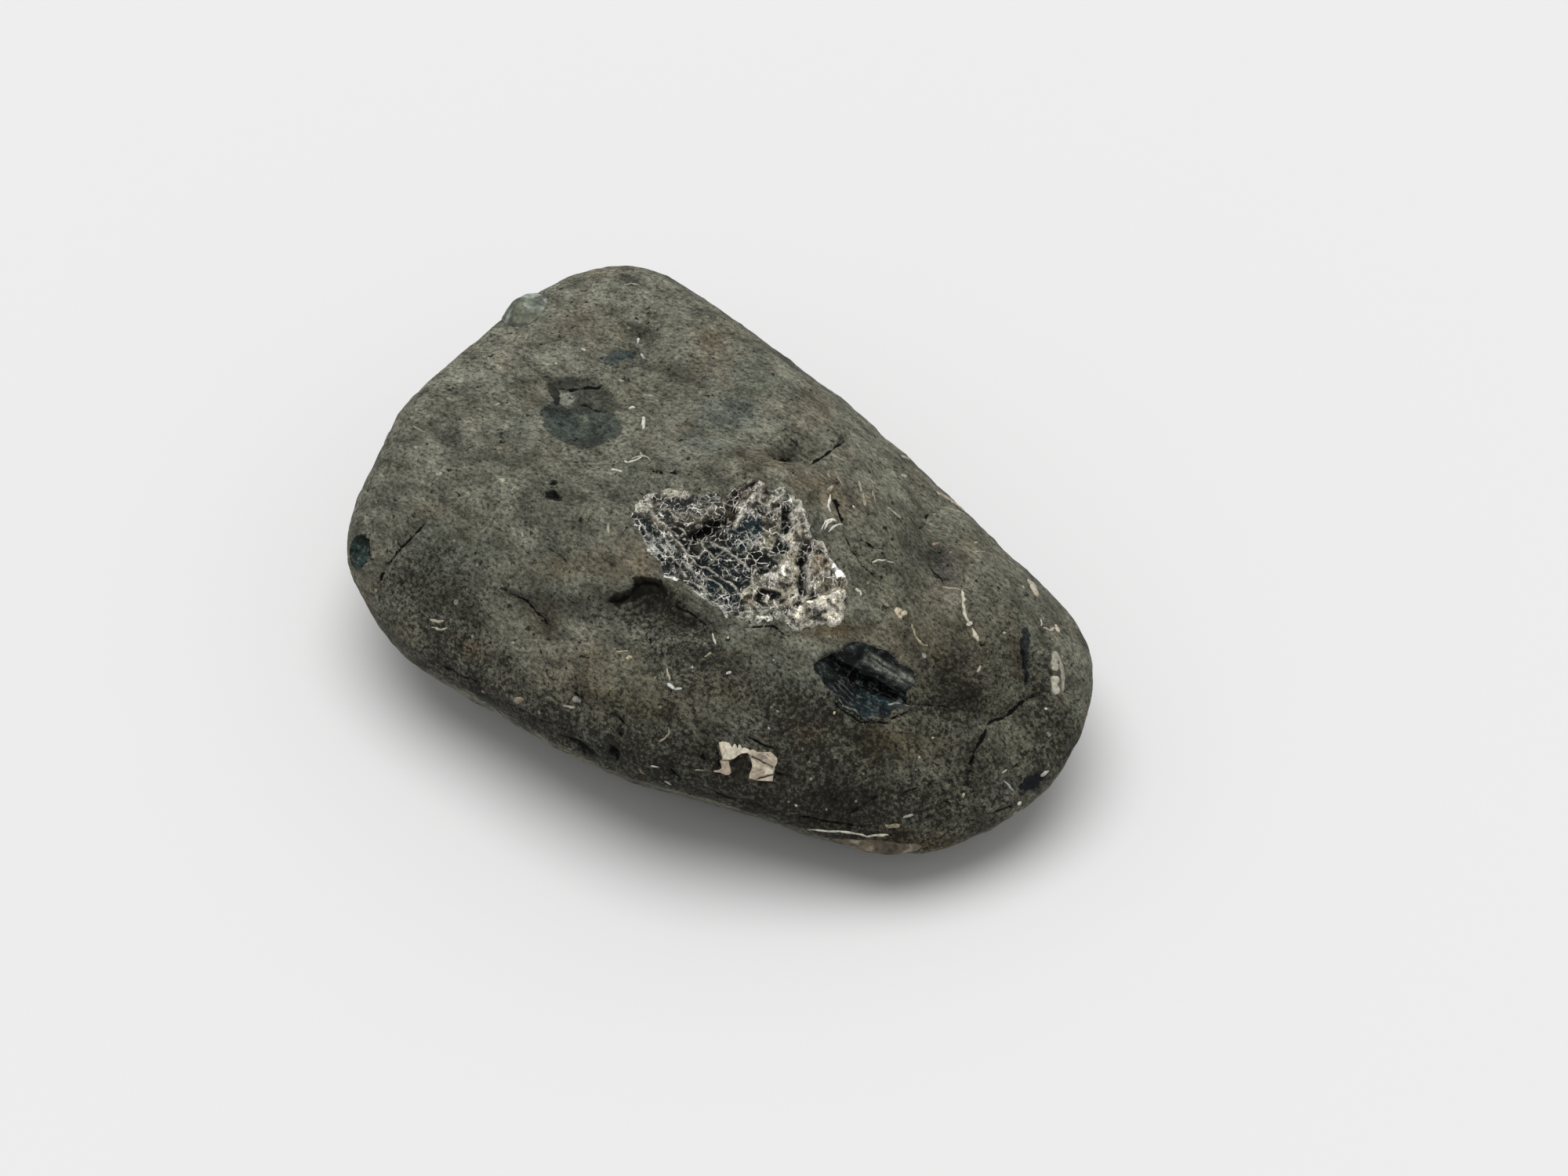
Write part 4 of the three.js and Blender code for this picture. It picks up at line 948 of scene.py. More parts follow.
VALVE_LINES = [
    # hex colour, share, half width in pixels, rise in mm, and the line
    ("#d6d1c0", 0.9, 1.5, 0.12, [(799, 658), (806, 650), (815, 648), (828, 648), (834, 654), (839, 664),
     (847, 672), (854, 682), (862, 690), (870, 700), (878, 707), (886, 717)]),
    ("#cfc9b6", 0.85, 1.2, 0.1, [(854, 649), (861, 660), (865, 665)]),
    ("#cfc9b6", 0.8, 1.0, 0.08, [(853, 674), (864, 670)]),
    ("#cfc9b6", 0.85, 1.1, 0.1, [(863, 670), (875, 680), (880, 687)]),
    ("#cfc9b6", 0.8, 1.1, 0.1, [(888, 682), (883, 689), (880, 695), (877, 702)]),
    ("#cfc9b6", 0.85, 1.1, 0.1, [(893, 687), (897, 692), (901, 698), (902, 702), (909, 706), (914, 712)]),
    ("#cfc9b6", 0.8, 1.0, 0.08, [(902, 702), (895, 706), (887, 711)]),
    ("#e2ded0", 0.95, 1.3, 0.12, [(904, 696), (913, 693), (921, 696), (928, 700), (936, 708), (942, 712),
     (948, 716), (956, 726)]),
    ("#cfc9b6", 0.8, 1.0, 0.08, [(914, 712), (918, 706), (922, 700)]),
    ("#e6e1d2", 0.95, 1.8, 0.15, [(964, 725), (961, 733), (960, 744), (956, 747), (951, 752), (944, 758)]),
    ("#ddd8c8", 0.9, 1.2, 0.12, [(893, 722), (901, 723), (907, 725), (913, 730), (919, 736), (925, 739),
     (931, 742), (936, 746), (942, 752), (944, 757)]),
    ("#cfc9b6", 0.85, 1.0, 0.08, [(894, 739), (904, 740), (911, 742), (917, 745), (922, 752), (923, 756)]),
    ("#cfc9b6", 0.8, 1.0, 0.08, [(893, 740), (898, 747), (904, 756)]),
    ("#cfc9b6", 0.8, 1.0, 0.08, [(904, 720), (911, 715), (917, 709)]),
    ("#e2e2d8", 0.9, 1.8, 0.1, [(881, 749), (892, 759), (904, 766), (917, 774), (925, 778), (928, 787)]),
    ("#e6e0d0", 0.95, 1.7, 0.15, [(951, 751), (960, 745), (965, 747), (979, 749), (992, 751), (999, 753)]),
    ("#f0ebdc", 0.98, 2.4, 0.2, [(971, 616), (968, 628), (961, 632), (957, 645), (949, 655), (936, 672)]),
    ("#d9c9ae", 0.9, 1.6, 0.12, [(936, 672), (932, 665), (930, 661)]),
    ("#e6e1d2", 0.95, 1.8, 0.15, [(969, 630), (970, 637), (977, 642), (982, 645), (984, 636), (983, 626)]),
    ("#e6e1d2", 0.95, 1.6, 0.12, [(956, 652), (961, 652), (968, 655), (972, 660), (978, 656), (984, 651),
     (994, 648)]),
    ("#d8dcd8", 0.8, 0.8, 0.05, [(968, 643), (972, 650)]),
    ("#d8dcd8", 0.8, 0.8, 0.05, [(974, 646), (976, 654)]),
    ("#d8dcd8", 0.8, 0.8, 0.05, [(979, 647), (980, 654)]),
    ("#eae5d6", 0.95, 1.6, 0.15, [(987, 624), (993, 630), (997, 635), (999, 641), (997, 648), (996, 661),
     (995, 676), (994, 678)]),
    ("#e6e1d2", 0.9, 1.7, 0.15, [(987, 624), (994, 622), (1000, 622), (1006, 626), (1009, 630), (1012, 637),
     (1020, 638), (1024, 645), (1029, 652), (1030, 658)]),
    ("#ded8c6", 0.85, 1.0, 0.08, [(1006, 640), (1012, 648)]),
    ("#f4efe2", 0.98, 2.2, 0.25, [(1010, 656), (1012, 652), (1019, 652), (1025, 656), (1026, 663),
     (1032, 670), (1034, 676), (1028, 678)]),
    ("#f0ebdc", 0.95, 2.2, 0.2, [(1010, 656), (1011, 669), (1008, 680), (999, 686), (1004, 692),
     (1010, 701)]),
    ("#ece7d8", 0.95, 1.7, 0.15, [(1010, 701), (1006, 704), (997, 706), (988, 706), (983, 708)]),
    ("#e6e0cf", 0.85, 1.1, 0.1, [(1010, 701), (1017, 701), (1024, 693)]),
    ("#ded8c6", 0.85, 1.0, 0.1, [(994, 680), (987, 692), (983, 703)]),
    ("#f4efe2", 0.98, 3.0, 0.3, [(1033, 685), (1038, 690), (1035, 693), (1036, 700), (1032, 710),
     (1033, 717), (1028, 723), (1031, 736), (1031, 743), (1030, 748), (1031, 753), (1028, 760),
     (1025, 765)]),
    ("#c9c0ac", 0.6, 4.5, 0.05, [(1033, 716), (1031, 725), (1032, 735)]),
    ("#f4efe2", 0.98, 2.6, 0.25, [(1047, 693), (1053, 702), (1053, 709), (1057, 716), (1061, 721)]),
    ("#ece7d8", 0.9, 1.8, 0.15, [(1041, 736), (1049, 731), (1051, 727), (1055, 721)]),
    ("#e0d9c8", 0.85, 1.3, 0.1, [(1040, 745), (1040, 751)]),
    ("#e0d9c8", 0.85, 1.5, 0.1, [(1045, 763), (1045, 755), (1050, 752)]),
    ("#f2eddf", 0.95, 3.0, 0.1, [(1079, 754), (1079, 766), (1077, 780), (1073, 792), (1066, 798)]),
    ("#f2eddf", 0.9, 3.0, 0.1, [(1066, 798), (1054, 795), (1041, 796), (1028, 799)]),
    ("#efe9da", 0.9, 3.0, 0.1, [(1026, 800), (1016, 803), (1008, 798), (1000, 788)]),
    ("#0c0c0b", 0.9, 1.0, -0.25, [(1075, 751), (1064, 756), (1053, 760), (1047, 763), (1040, 765)]),
    ("#0c0c0b", 0.9, 1.1, -0.25, [(1030, 765), (1023, 771), (1015, 775), (1006, 778)]),
    ("#14130f", 0.85, 1.3, -0.2, [(847, 670), (866, 665), (882, 661), (904, 651)]),
    ("#191713", 0.8, 1.2, -0.15, [(815, 649), (823, 646), (833, 644)]),
    ("#cbc9bd", 0.8, 1.0, 0.05, [(816, 664), (826, 678), (832, 690)]),
    ("#cbc9bd", 0.8, 1.0, 0.05, [(808, 662), (818, 680), (826, 694)]),
    ("#cbc9bd", 0.8, 1.1, 0.05, [(832, 668), (842, 684), (852, 700), (864, 716)]),
    ("#cbc9bd", 0.7, 1.0, 0.05, [(838, 712), (848, 722), (862, 730)]),
    ("#cbc9bd", 0.7, 1.0, 0.05, [(844, 690), (854, 702), (868, 722), (874, 734)]),
    ("#d4cdbb", 0.8, 1.0, 0.08, [(868, 728), (880, 738), (892, 748), (908, 760)]),
    ("#d9d4c4", 0.8, 1.2, 0.08, [(936, 780), (952, 783), (974, 781), (996, 783)]),
    ("#d9d4c4", 0.8, 1.2, 0.08, [(930, 784), (948, 790), (968, 789), (986, 788)]),
    ("#2a2a24", 0.8, 1.0, -0.1, [(934, 779), (956, 778), (980, 778), (994, 778)]),
    ("#24241f", 0.7, 1.0, -0.1, [(944, 787), (962, 786), (984, 785)]),
    ("#b4ac99", 0.7, 1.0, 0.06, [(870, 640), (884, 650), (898, 646)]),
    ("#b4ac99", 0.7, 1.0, 0.06, [(838, 640), (850, 648), (866, 652)]),
    ("#b4ac99", 0.6, 1.0, 0.06, [(884, 636), (890, 644), (906, 638), (920, 634)]),
]
# Where the shell shines white between fine cells, and where it is flecked.
VALVE_NETS = [
    # strength and outline of an area with a close white network
    (1.0, [(936, 664), (950, 652), (972, 656), (978, 672), (972, 690), (950, 702), (934, 700), (928, 680)]),
    (0.8, [(890, 730), (912, 728), (944, 758), (946, 776), (926, 778), (900, 764), (884, 746)]),
    (0.25, [(806, 652), (834, 650), (874, 704), (872, 742), (844, 738), (810, 680)]),
    (0.6, [(850, 628), (925, 628), (910, 652), (870, 664), (840, 660)]),
    (0.5, [(886, 712), (904, 694), (930, 700), (960, 732), (944, 757), (900, 724)]),
]


def lay_lines(colour, height, places, lines, broken):
    """Mixes each line's colour in, and adds its rise, by a bell curve of the distance to the line;
    where the broken noise is low the line thins out."""
    for code, share, half_width, rise, line in lines:
        distance, _ = line_measure(places, line)
        near = np.exp(-(distance / (0.85 * half_width)) ** 2 / (0.4 + 1.2 * broken))
        near *= smooth(0.15, 0.6, broken)
        mix_in(colour, code, share * near)
        height += rise * near


def even_steps(line, count):
    """Points at even steps of a broken line's length."""
    line = np.asarray(line, float)
    passed = np.concatenate([[0], np.cumsum(np.linalg.norm(np.diff(line, axis=0), axis=1))])
    steps = np.linspace(0, passed[-1], count)
    return np.stack([np.interp(steps, passed, line[:, k]) for k in (0, 1)], -1)


def ringed_places(outline, around, rings, ragged):
    """An outline's points at even steps of its length, shrunk towards its middle in even rings, and
    pushed about near the rim by noise in cells of 9 and 4 pixels, by up to the ragged number."""
    outline = np.asarray(outline, float)
    rim = even_steps(np.vstack([outline, outline[:1]]), around + 1)[:-1]
    middle = (outline.min(0) + outline.max(0)) / 2
    share = (np.arange(rings) + 1)[:, None, None] / rings
    places = middle + share * (rim - middle)
    level = np.concatenate([places, np.zeros_like(places[..., :1])], -1)
    push = drift(level, 9, (51, 52)) + 0.6 * drift(level, 4, (51, 52))
    places = places + push * ragged * share ** 6
    return np.vstack([middle, places.reshape(-1, 2)])


def ring_faces(around, rings):
    """Triangles of rings of points that lie between a first point and a last one."""
    ring = 1 + np.arange(rings * around).reshape(rings, around)
    after = np.roll(ring, -1, axis=1)
    first = np.zeros(around, int)
    last = np.full(around, 1 + rings * around)
    return np.concatenate([
        np.stack([first, ring[0], after[0]], -1),
        np.stack([ring[:-1], ring[1:], after[1:]], -1).reshape(-1, 3),
        np.stack([ring[:-1], after[1:], after[:-1]], -1).reshape(-1, 3),
        np.stack([last, after[-1], ring[-1]], -1),
    ])


def make_plate(name, base, height, outward, depth, around, material, **values):
    """A plate from rings of points on the skin: its upper side at the given heights, its rim, which
    turns over in two steps of 0.12 and 0.5 mm and then the depth, and its underside. The upper side's
    values are carried down over the rim."""
    rim = base[-around:]
    edge = height[-around:, None]
    points = np.concatenate([
        base + outward * height[:, None],
        rim + outward * (edge - 0.12),
        rim + outward * (edge - 0.5),
        rim - outward * depth,
        base[:1] - outward * depth,
    ])
    values = {key: np.concatenate([value] + [value[-around:]] * 3 + [value[:1]])
              for key, value in values.items()}
    return make_piece(name, points, ring_faces(around, len(base) // around + 3), material, **values)


def flush(base):
    """The height that lays a shell flush with the worn stone round it."""
    facing = -np.sum(worn_normal(unit(base - HEART)) * unit(base - EYE), -1)
    return worn_relief(base, picture_place(base), facing)


def seat_places(base, place):
    """u and v of points on the plane of a seat."""
    origin, across, along, _ = seat_frame(place)
    return (base - origin) @ across, (base - origin) @ along


# The shell's left margin, streaked along its edge: u and v of the way the streaks run, and outline.
MARGIN_WAY = (0.54, -0.84)
VALVE_MARGIN = [
    (800, 657), (815, 650), (830, 655), (850, 678), (880, 716), (905, 745), (925, 775), (930, 788),
    (900, 768), (862, 742), (842, 735), (820, 698),
]

VALVE_AROUND = 640
VALVE_RINGS = 100
VALVE_TONE = 0.085
VALVE_CONTRAST = 1.15
VALVE_WAVES = [(0.18, 1.0, 28), (0.12, 0.45, 29)]

# Its shape: flush with the stone, tilted, ribbed, and raised or sunk where it is drawn so.
places = ringed_places(VALVE_OUTLINE, VALVE_AROUND, VALVE_RINGS, 3.0)
base = on_skin(places)
u, v = seat_places(base, VALVE_SEAT)
ribs = np.zeros(len(base))
for u0, v0, u1, v1, half_width, rise in VALVE_RIBS:
    distance, _ = line_measure(np.stack([u, v], -1), [(u0, v0), (u1, v1)])
    ribs += rise * np.exp(-(distance / half_width) ** 2)
within = inside_measure(places, VALVE_OUTLINE)
height = flush(base) - VALVE_TILT * v * smooth(0, 12, within) + ribs
drawn = places + (1.8 * drift(base, 0.9, (21, 22)) + 0.9 * drift(base, 0.4, (23, 24)))
broken = 0.5 + 0.5 * noise(base, 0.7, 25)
colour = np.tile(paint("#605b4e"), (len(base), 1))
lay_patches(colour, height, drawn, VALVE_PATCHES)

# Mottled, with more contrast, lighter over the right-hand ribs, and bluer and darker at the left.
colour *= (1 + 0.5 * (noise(base, 1.1, 26) + noise(base, 0.5, 27)))[:, None]
colour *= np.clip(colour.mean(1) / VALVE_TONE, 0.2, 3)[:, None] ** VALVE_CONTRAST
colour *= (1 + bell(places, 1030, 735, 55, 60, 0) - 0.5 * bell(places, 925, 720, 60, 45, 30))[:, None]
colour *= 1 - np.array([0.4, 0.24, 0.18]) * bell(places, 925, 710, 75, 45, 20)[:, None]
# Painted highlight: the rib crests are mixed towards pale cream by their height.
crest_highlight = smooth(0.15, 0.6, ribs) * smooth(0.3, 0.6, broken + 0.4 * noise(base, 0.5, 30))
mix_in(colour, "#cfc8b6", 0.4 * crest_highlight)
crust = smooth(0.03, 0.16, colour.mean(1))

# Pits, and cream veins where a noise passes through zero.
pits = smooth(0.15, 0.5, noise(base, 1.3, 41) + 0.5 * noise(base, 0.5, 42))
veins = smooth(0.11, 0.03, np.abs(noise(base, 1.5, 43) + 0.2 * noise(base, 0.5, 44)))
veins *= smooth(0.25, 0.5, broken) * (0.3 + 0.7 * crust)
colour *= (1 - 0.8 * pits)[:, None]
mix_in(colour, "#f2eee2", 0.95 * veins)
height += 0.14 * veins - 0.18 * pits

# The left margin's streaks: noise drawn out five times along the edge.
along_margin = u * MARGIN_WAY[0] + v * MARGIN_WAY[1]
across_margin = v * MARGIN_WAY[0] - u * MARGIN_WAY[1]
streaked = np.stack([0.2 * along_margin, across_margin + 0.25 * noise(base, 1.4, 45), 0 * u], -1)
on_margin = smooth(-3, 3, inside_measure(drawn, VALVE_MARGIN))
streaks = smooth(0.05, 0.45, noise(streaked, 0.42, 46)) * on_margin
streaks *= smooth(0.1, 0.5, noise(base, 1.2, 47) + 0.6)
colour *= (1 - 0.5 * on_margin)[:, None]
mix_in(colour, "#cfd2c9", 0.85 * streaks)
height += 0.08 * streaks
lay_lines(colour, height, drawn, VALVE_LINES, broken)
height += waves(base, VALVE_WAVES)

# Where the fine net shows, over darker shell, and the pale broken rim.
net = np.zeros(len(base))
for strength, outline in VALVE_NETS:
    net = np.maximum(net, strength * smooth(-3, 3, inside_measure(drawn, outline)))
mix_in(colour, "#22383e", 0.5 * net * (1 - smooth(0.02, 0.1, colour.mean(1))))
mix_in(colour, "#cdc9ba", 0.7 * smooth(6, 0, within) * smooth(0.4, 0.7, broken))
height -= 0.1 * smooth(3, 0, within)

# Crazed shell: old calcite with a satin skin, broken into cells of about 1.2 and 0.6 mm with cream
# lines between them, which are worn away in places. Cream crumbs and dark holes roughen it, 0.7 mm
# apart. The lines are drawn about twice as wide as real so that they show.
VALVE_NOISES = {
    # repeats to the millimetre, detail and roughness
    "worn": (0.62, 4, 0.7), "crumb": (1.5, 6, 0.8), "grain": (4.2, 4, 0.7),
}
VALVE_SPREADS = {
    # the pattern, the values that it rises between, and what is given below and above them
    "wide": ("wide", 0.07, 0.03, 0, 0.95), "fine": ("fine", 0.10, 0.04, 0, 0.4),
    "worn": ("worn", 0.46, 0.56, 0, 1), "crumb": ("crumb", 0.60, 0.66, 0, 0.9),
    "hole": ("crumb", 0.46, 0.40, 0, 0.92), "grain": ("grain", 0.3, 0.7, 0.15, 1.85),
}
ribbed_shell, tree, shader, place = start_material("crazed_ribbed_shell", 0.5, 0.12)
bent = add(tree, "TexNoise", {"Vector": place, "Scale": 1.3 * PER_MM, "Detail": 3}, out="Color")
bent = add(tree, "VectorMath", {0: bent, "Scale": 0.35 / PER_MM}, operation="SCALE")
bent = add(tree, "VectorMath", {0: place, 1: bent}, operation="ADD")
noises = {}
for name, per_mm in (("wide", 0.85), ("fine", 1.7)):
    noises[name] = add(tree, "TexVoronoi", {"Vector": bent, "Scale": per_mm * PER_MM},
                       feature="DISTANCE_TO_EDGE")
for name, (per_mm, detail, roughness) in VALVE_NOISES.items():
    noises[name] = add(tree, "TexNoise", {
        "Vector": place, "Scale": per_mm * PER_MM, "Detail": detail, "Roughness": roughness,
    })
spread = {}
for name, (source, low, high, least, most) in VALVE_SPREADS.items():
    spread[name] = add(tree, "MapRange", {
        "Value": noises[source], "From Min": low, "From Max": high, "To Min": least, "To Max": most,
    })
given = {}
for name in ("tint", "net", "crust"):
    given[name] = add(tree, "Attribute", {}, out="Color" if "tint" in name else "Fac", attribute_name=name)
fine_line = add(tree, "Math", {0: spread["fine"], 1: given["net"]}, operation="MULTIPLY")
craze = add(tree, "Math", {0: spread["wide"], 1: fine_line}, operation="MAXIMUM")
craze = add(tree, "Math", {0: craze, 1: spread["worn"]}, operation="MULTIPLY")
crumb_share = add(tree, "Math", {0: spread["crumb"], 1: given["crust"]}, operation="MULTIPLY")
shown = given["tint"]
for share, over in ((craze, "#e8e5da"), (crumb_share, "#f0ede2"), (spread["hole"], "#0b0d0d")):
    shown = add(tree, "Mix", {0: share, 6: shown, 7: over}, out=2, data_type="RGBA")
shown = add(tree, "VectorMath", {0: shown, "Scale": spread["grain"]}, operation="SCALE")
rough = add(tree, "Math", {0: noises["crumb"], 1: craze}, operation="ADD")
finish_material(tree, shader, shown, rough, 0.9, 0.2)

outward = seat_frame(VALVE_SEAT)[3]
valve = make_plate(
    "ribbed_valve", base, height, outward, VALVE_DEPTH, VALVE_AROUND, ribbed_shell,
    tint=np.maximum(colour, 0.002), net=net, crust=crust,
)
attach(valve, "root")
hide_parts("carditid_shell")


# The folded valve: a small dark shell, pressed in along a deep fold, teal to black and silky. Its
# lower rim is scalloped and stands a little proud of the stone.
FOLDED_SEAT = (342, 18)
FOLDED_DEPTH = 4.2
FOLD = {"start": (-2.4, 1.9), "end": (5.9, -2.5), "depth": 2.6, "floor": 4.5, "upper": 0.7}
FOLD_FADE = {"edge": 8.45, "width": 6.5}
FOLDED_PATCHES = [
    ("#3a4442", 0.9, 2.5, 0.0, [(1042, 848), (1054, 843), (1070, 850), (1073, 862), (1062, 866),
     (1050, 860)]),
    # Painted shade: this near-black patch and the last one run along the foot of the fold, under its steep
    # upper wall.
    ("#0b0d0e", 0.95, 2.5, -0.1, [(1047, 837), (1058, 832), (1070, 831), (1091, 834), (1099, 841),
     (1091, 851), (1084, 859), (1072, 859), (1066, 851), (1057, 845), (1049, 841)]),
    ("#324242", 0.9, 2.5, 0.05, [(1078, 824), (1086, 818), (1100, 818), (1116, 824), (1114, 834),
     (1098, 836), (1084, 833)]),
    # Painted light: the flap over the fold, grey on its upward face as if lit.
    ("#62625a", 0.9, 3.0, 0.0, [(1105, 830), (1112, 830), (1122, 837), (1135, 845), (1150, 855), (1164, 862),
     (1168, 870), (1162, 874), (1152, 872), (1140, 866), (1128, 859), (1116, 851), (1103, 846),
     (1097, 841)]),
    ("#14181a", 0.95, 1.8, -0.15, [(1118, 830), (1133, 829), (1143, 837), (1150, 848), (1138, 843),
     (1128, 838)]),
    ("#33464a", 0.9, 2.5, 0.0, [(1091, 876), (1116, 880), (1135, 889), (1143, 893), (1137, 906), (1137, 916),
     (1116, 915), (1105, 918), (1091, 906), (1087, 895)]),
    ("#1e272b", 0.9, 2.5, -0.05, [(1062, 864), (1076, 864), (1088, 876), (1090, 896), (1080, 900),
     (1070, 888)]),
    ("#35342e", 0.85, 2.5, 0.05, [(1082, 864), (1092, 862), (1098, 870), (1092, 876), (1084, 874)]),
    ("#3f4b49", 0.9, 1.5, 0.0, [(1137, 897), (1147, 894), (1157, 897), (1166, 899), (1158, 903),
     (1141, 907)]),
    # Painted shade along the foot of the fold, under its steep upper wall.
    ("#090909", 1.0, 2.2, -0.25, [(1087, 859), (1097, 851), (1105, 855), (1116, 859), (1128, 862),
     (1138, 870), (1148, 878), (1156, 884), (1162, 891), (1166, 898), (1158, 897), (1148, 891), (1139, 886),
     (1126, 881), (1114, 878), (1103, 874), (1093, 867)]),
]
FOLDED_LINES = [
    ("#8a8474", 0.25, 0.7, 0.05, [(1095, 846), (1091, 850), (1088, 856), (1085, 858), (1087, 867),
     (1092, 874)]),
    ("#b8b8aa", 0.8, 1.0, 0.06, [(1137, 897), (1147, 894), (1157, 897), (1166, 899), (1158, 903),
     (1141, 907)]),
    ("#7f877d", 0.8, 1.6, 0.1, [(1036, 854), (1043, 863), (1050, 874), (1058, 882), (1065, 886), (1070, 893),
     (1076, 900), (1084, 904), (1092, 907), (1099, 914), (1106, 917), (1116, 913), (1124, 916), (1131, 917),
     (1137, 915)]),
    # Painted highlight: these three pale streaks lie along the crest of the flap.
    ("#9a9c8f", 0.5, 1.0, 0.05, [(1110, 832), (1122, 840), (1136, 850)]),
    ("#9a9c8f", 0.45, 1.0, 0.05, [(1106, 836), (1118, 844), (1134, 856), (1150, 866)]),
    ("#8d8f84", 0.45, 1.0, 0.05, [(1128, 846), (1146, 856), (1160, 866)]),
    ("#78817a", 0.35, 0.9, 0.05, [(1066, 868), (1078, 880), (1088, 892)]),
    ("#78817a", 0.35, 0.9, 0.05, [(1072, 866), (1082, 876), (1090, 884)]),
    ("#78817a", 0.3, 0.9, 0.05, [(1062, 874), (1072, 886), (1082, 896)]),
    ("#6c7a74", 0.3, 0.9, 0.04, [(1096, 884), (1112, 892), (1130, 900)]),
    ("#6c7a74", 0.3, 0.9, 0.04, [(1094, 894), (1110, 902), (1126, 908)]),
    ("#8a8e84", 0.7, 1.3, 0.05, [(1072, 826), (1082, 820), (1096, 817), (1108, 821)]),
]
FOLDED_AROUND = 400
FOLDED_RINGS = 64
FOLDED_TONE = 0.08
places = ringed_places(FOLDED_OUTLINE, FOLDED_AROUND, FOLDED_RINGS, 2.0)
base = on_skin(places)
u, v = seat_places(base, FOLDED_SEAT)
(u0, v0), (u1, v1) = FOLD["start"], FOLD["end"]
length = np.hypot(u1 - u0, v1 - v0)
beyond = ((u - u0) * (v0 - v1) + (v - v0) * (u1 - u0)) / length
inward = np.clip((FOLD_FADE["edge"] - np.hypot(u, v)) / FOLD_FADE["width"], 0, 1)
floor_height = -FOLD["depth"] * np.clip(1 + beyond / FOLD["floor"], 0, 1)
over_wall = smooth(-0.3, 0.5, beyond + 0.25 * noise(base, 1.2, 31))
height = flush(base) + (floor_height * (1 - over_wall) - FOLD["upper"] * over_wall) * inward
drawn = places + 1.6 * drift(base, 0.8, (32, 33))
broken = 0.5 + 0.5 * noise(base, 0.7, 34)
colour = np.tile(paint("#222b2a"), (len(base), 1))
lay_patches(colour, height, drawn, FOLDED_PATCHES)
along = (u * (u1 - u0) + v * (v1 - v0)) / length
streak = noise(np.stack([along * 0.3, beyond * 1.5, u * 0], -1), 0.6, 35)
mottle = 0.8 * noise(base, 0.9, 36) + 0.6 * noise(base, 0.4, 37) + 1.1 * streak
colour *= (1 + 0.5 * mottle)[:, None]
colour *= 0.75 * np.clip(colour.mean(1) / FOLDED_TONE, 0.1, 1.6)[:, None] ** 0.8
lay_lines(colour, height, drawn, FOLDED_LINES, broken)
height += waves(base, [(0.06, 0.9, 38), (0.04, 0.4, 39)])

# Silky dark shell: thin old shell, teal to black, that shines softly. Its grain is 0.4 mm, and painted
# glints, pale spots of 0.9 mm mixed into its colour, break it up.
dark_shell, tree, shader, place = start_material("silky_dark_shell", 0.45, 0.12)
tint = add(tree, "Attribute", {}, out="Color", attribute_name="tint")
grain = add(tree, "TexNoise", {"Vector": place, "Scale": 2.6 * PER_MM, "Detail": 4, "Roughness": 0.65})
light = add(tree, "MapRange", {"Value": grain, "From Min": 0.3, "From Max": 0.7, "To Min": 0, "To Max": 2})
shown = add(tree, "VectorMath", {0: tint, "Scale": light}, operation="SCALE")
glint = add(tree, "TexNoise", {"Vector": place, "Scale": 1.1 * PER_MM, "Detail": 6, "Roughness": 0.8})
painted_glint_share = add(tree, "MapRange", {"Value": glint, "From Min": 0.54, "From Max": 0.64, "To Max": 0.45})
shown = add(tree, "Mix", {0: painted_glint_share, 6: shown, 7: "#6f7c78"}, out=2, data_type="RGBA")
finish_material(tree, shader, shown, glint, 0.6, 0.1)

outward = seat_frame(FOLDED_SEAT)[3]
folded = make_plate(
    "folded_valve", base, height, outward, FOLDED_DEPTH, FOLDED_AROUND, dark_shell,
    tint=np.maximum(colour, 0.002),
)
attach(folded, "root")
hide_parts("dark_valve")


# The cream plate: a piece of chalky shell on the front flank, with an arch broken out of its lower
# edge and a comb of short ribs along its upper one. It lies 0.35 mm proud of the stone.
CREAM_SEAT = (316, 12)
CREAM_PROUD = 0.35
CREAM_THICK = 1.6
CREAM_PATCHES = [
    ("#e4dac4", 0.95, 2.0, 0.05, [(916, 946), (932, 947), (958, 954), (950, 962), (936, 968), (924, 970)]),
    ("#b5a590", 0.9, 1.5, 0.0, [(919, 970), (932, 972), (934, 988), (918, 986), (910, 984)]),
    ("#c4b6a2", 0.9, 2.0, 0.05, [(961, 956), (984, 960), (992, 968), (990, 978), (976, 974), (962, 966)]),
    ("#8f8270", 0.8, 1.5, -0.1, [(966, 962), (972, 961), (976, 968), (970, 970)]),
    ("#d9cdb6", 0.9, 1.5, 0.05, [(957, 968), (966, 972), (968, 980), (959, 979)]),
    ("#b3a28f", 0.9, 2.0, 0.0, [(956, 986), (974, 978), (988, 982), (986, 990), (964, 994)]),
    ("#efe8d4", 0.95, 1.5, 0.05, [(974, 978), (988, 982), (987, 987), (976, 988)]),
    ("#cdc2ae", 0.9, 1.5, 0.0, [(966, 995), (984, 991), (986, 996), (976, 998)]),
]
